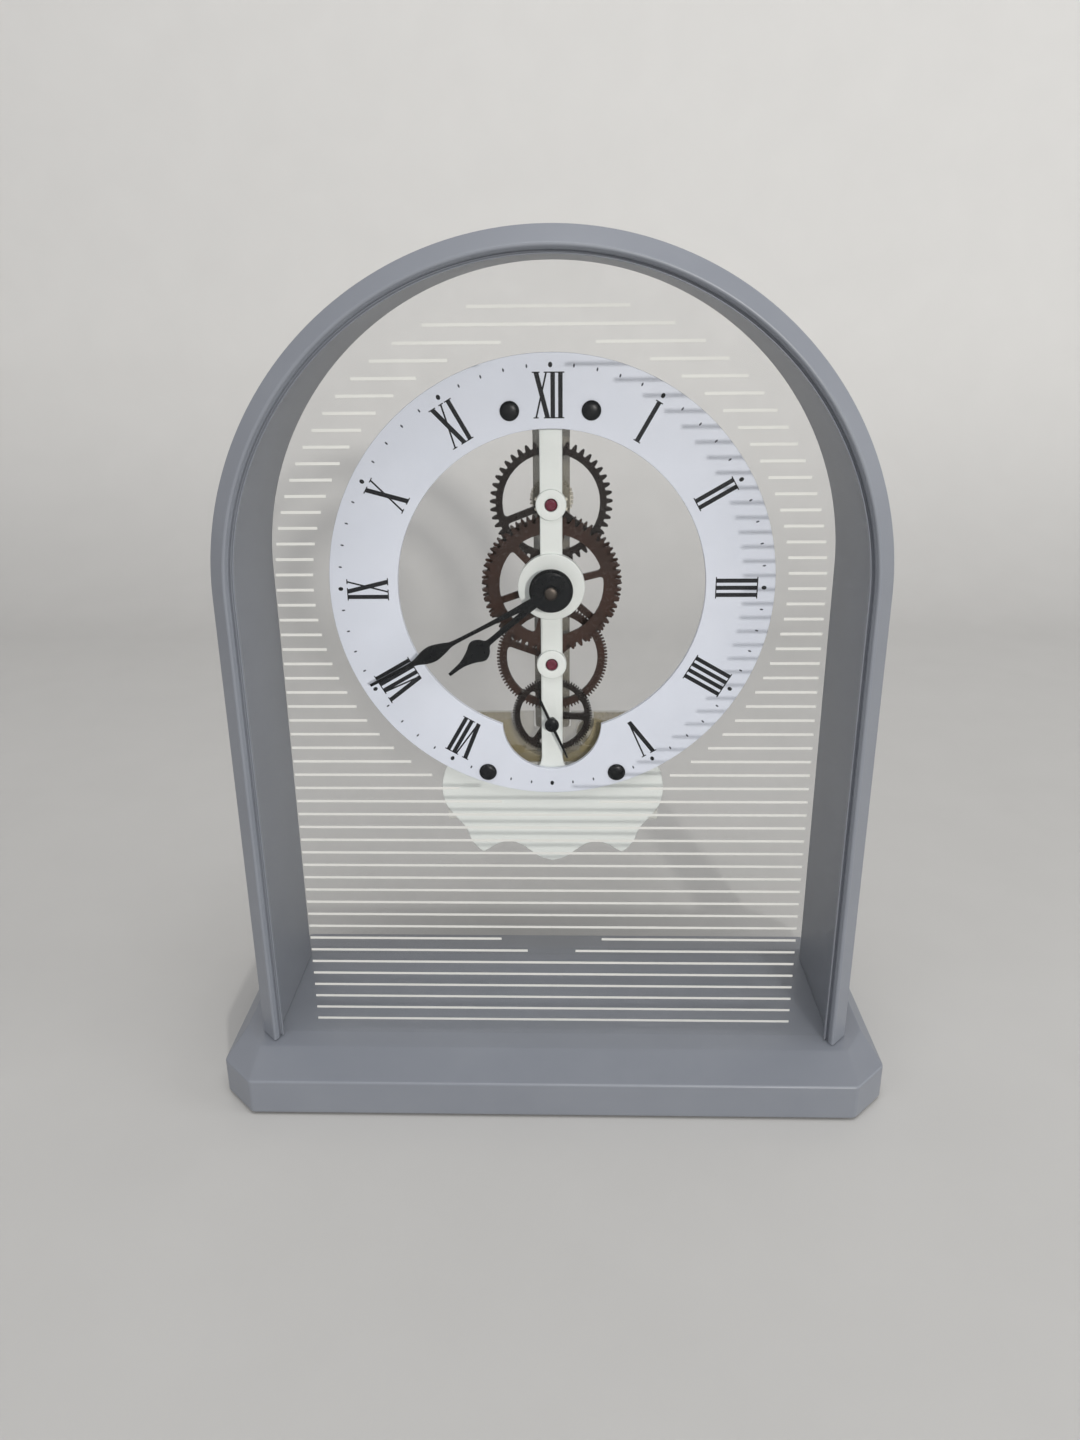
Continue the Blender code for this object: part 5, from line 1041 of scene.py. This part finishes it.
finished(tree, add(tree, "GeometryNodeInstanceOnPoints", Points=places, Selection=shown, Instance=strip,
                   Scale=shape))
fit(grown("pane_print", tree, white_ink, at=(0.0, FRONT_PANE[1] + INK_STANDS_OFF, 0.0)), "pane")


# Studio
# A pale sweep of paper, a little deeper in tone on the floor than up the wall. A small key lamp at
# the upper right in front, and wide ones on the left, on the right and overhead. The camera stands
# where the photograph was taken.

BEND = 0.16
WALL_Y = 0.58
FLOOR_FRONT = -1.6
SWEEP_HALF = 1.8
WALL_TOP = 1.8
bend = [math.pi / 2 * k / 12 for k in range(13)]
curve = [(WALL_Y - BEND + BEND * math.sin(a), BEND - BEND * math.cos(a)) for a in bend]
sweep_line = [(FLOOR_FRONT, 0.0)] + curve + [(WALL_Y, WALL_TOP)]
bm = bmesh.new()
rows = [[bm.verts.new((x, y, z)) for x in (-SWEEP_HALF, SWEEP_HALF)] for y, z in sweep_line]
for a, b in zip(rows, rows[1:]):
    bm.faces.new([a[0], a[1], b[1], b[0]])
# Matt background paper, its fibre only a soft change of tone.
paper, tree, shader, where = material("matt_paper")
fibre = add(tree, "ShaderNodeTexNoise", Vector=where, Scale=1 / (30 * MM), Detail=4.0)
floor = add(tree, "ShaderNodeMix", data_type="RGBA", in0=fibre, in6=linear("bfbebc"), in7=linear("c4c3c1"))
wall = add(tree, "ShaderNodeMix", data_type="RGBA", in0=fibre, in6=linear("d9d8d6"), in7=linear("dedddb"))
height = add(tree, "ShaderNodeSeparateXYZ", Vector=where).outputs["Z"]
rise = add(tree, "ShaderNodeMapRange", Value=height, From_Max=0.2, interpolation_type="SMOOTHSTEP")
tone = add(tree, "ShaderNodeMix", data_type="RGBA", in0=rise, in6=floor.outputs[2], in7=wall.outputs[2])
filled(shader, Base_Color=tone.outputs[2], Roughness=0.9)
sweep = laid("sweep", bm, paper)
sweep.data.shade_smooth()


def lamp(name, place, aim, width, watts, colour):
    light = bpy.data.lights.new(name, "AREA")
    light.shape = "DISK"
    light.size = width
    light.energy = watts
    light.color = linear(colour)[:3]
    holder = placed(name, light)
    holder.location = place
    holder.rotation_euler = (Vector(aim) - Vector(place)).to_track_quat("-Z", "Y").to_euler()


MIDDLE = (0.0, 0.0, 0.1)
lamp("key", (0.42, -1.50, 0.48), (0.0, 0.0, 0.12), width=0.07, watts=11.8, colour="fffdf8")
lamp("fill", (-1.1, -1.0, 0.9), MIDDLE, width=1.0, watts=2.5, colour="f6f6fa")
lamp("side", (1.4, -0.35, 0.55), MIDDLE, width=0.8, watts=4.6, colour="ffffff")
lamp("overhead", (0.1, -0.42, 1.25), MIDDLE, width=0.9, watts=6.2, colour="ffffff")
# The room gives a weak even light, and shows pale where it is seen or mirrored.
ROOM_LIGHT = 0.32
ROOM_SHOWN = 0.45                      # what is added to that where the room is seen
world = bpy.data.worlds.new("room")
world.use_nodes = True
tree = world.node_tree
ray = add(tree, "ShaderNodeLightPath").outputs
shown = add(tree, "MAXIMUM", ray["Is Camera Ray"], ray["Is Glossy Ray"])
shown = add(tree, "MAXIMUM", shown, ray["Is Transmission Ray"])
light = add(tree, "MULTIPLY_ADD", shown, ROOM_SHOWN, ROOM_LIGHT)
filled(tree.nodes["Background"], Color=linear("f2f2f4"), Strength=light)
bpy.context.scene.world = world

CAMERA_AT = (0.00397, -0.23952, 0.17915)
CAMERA_TURNS = (19.979, -1.627, 0.528)  # pitch, yaw, roll
LENS = 25.8127
pitch, yaw, roll = [math.radians(a) for a in CAMERA_TURNS]
forward = Vector((math.sin(yaw) * math.cos(pitch), math.cos(yaw) * math.cos(pitch), -math.sin(pitch)))
level = Vector((math.cos(yaw), -math.sin(yaw), 0.0))
below = forward.cross(level)
right = level * math.cos(roll) + below * math.sin(roll)
down = below * math.cos(roll) - level * math.sin(roll)
camera = placed("camera", bpy.data.cameras.new("camera"))
camera.data.sensor_width = 36.0
camera.data.lens = LENS
camera.data.clip_start = 0.01
axes = Matrix((right, -down, -forward)).transposed().to_4x4()
camera.matrix_world = Matrix.Translation(CAMERA_AT) @ axes
bpy.context.scene.camera = camera
bpy.context.scene.view_settings.view_transform = "Standard"
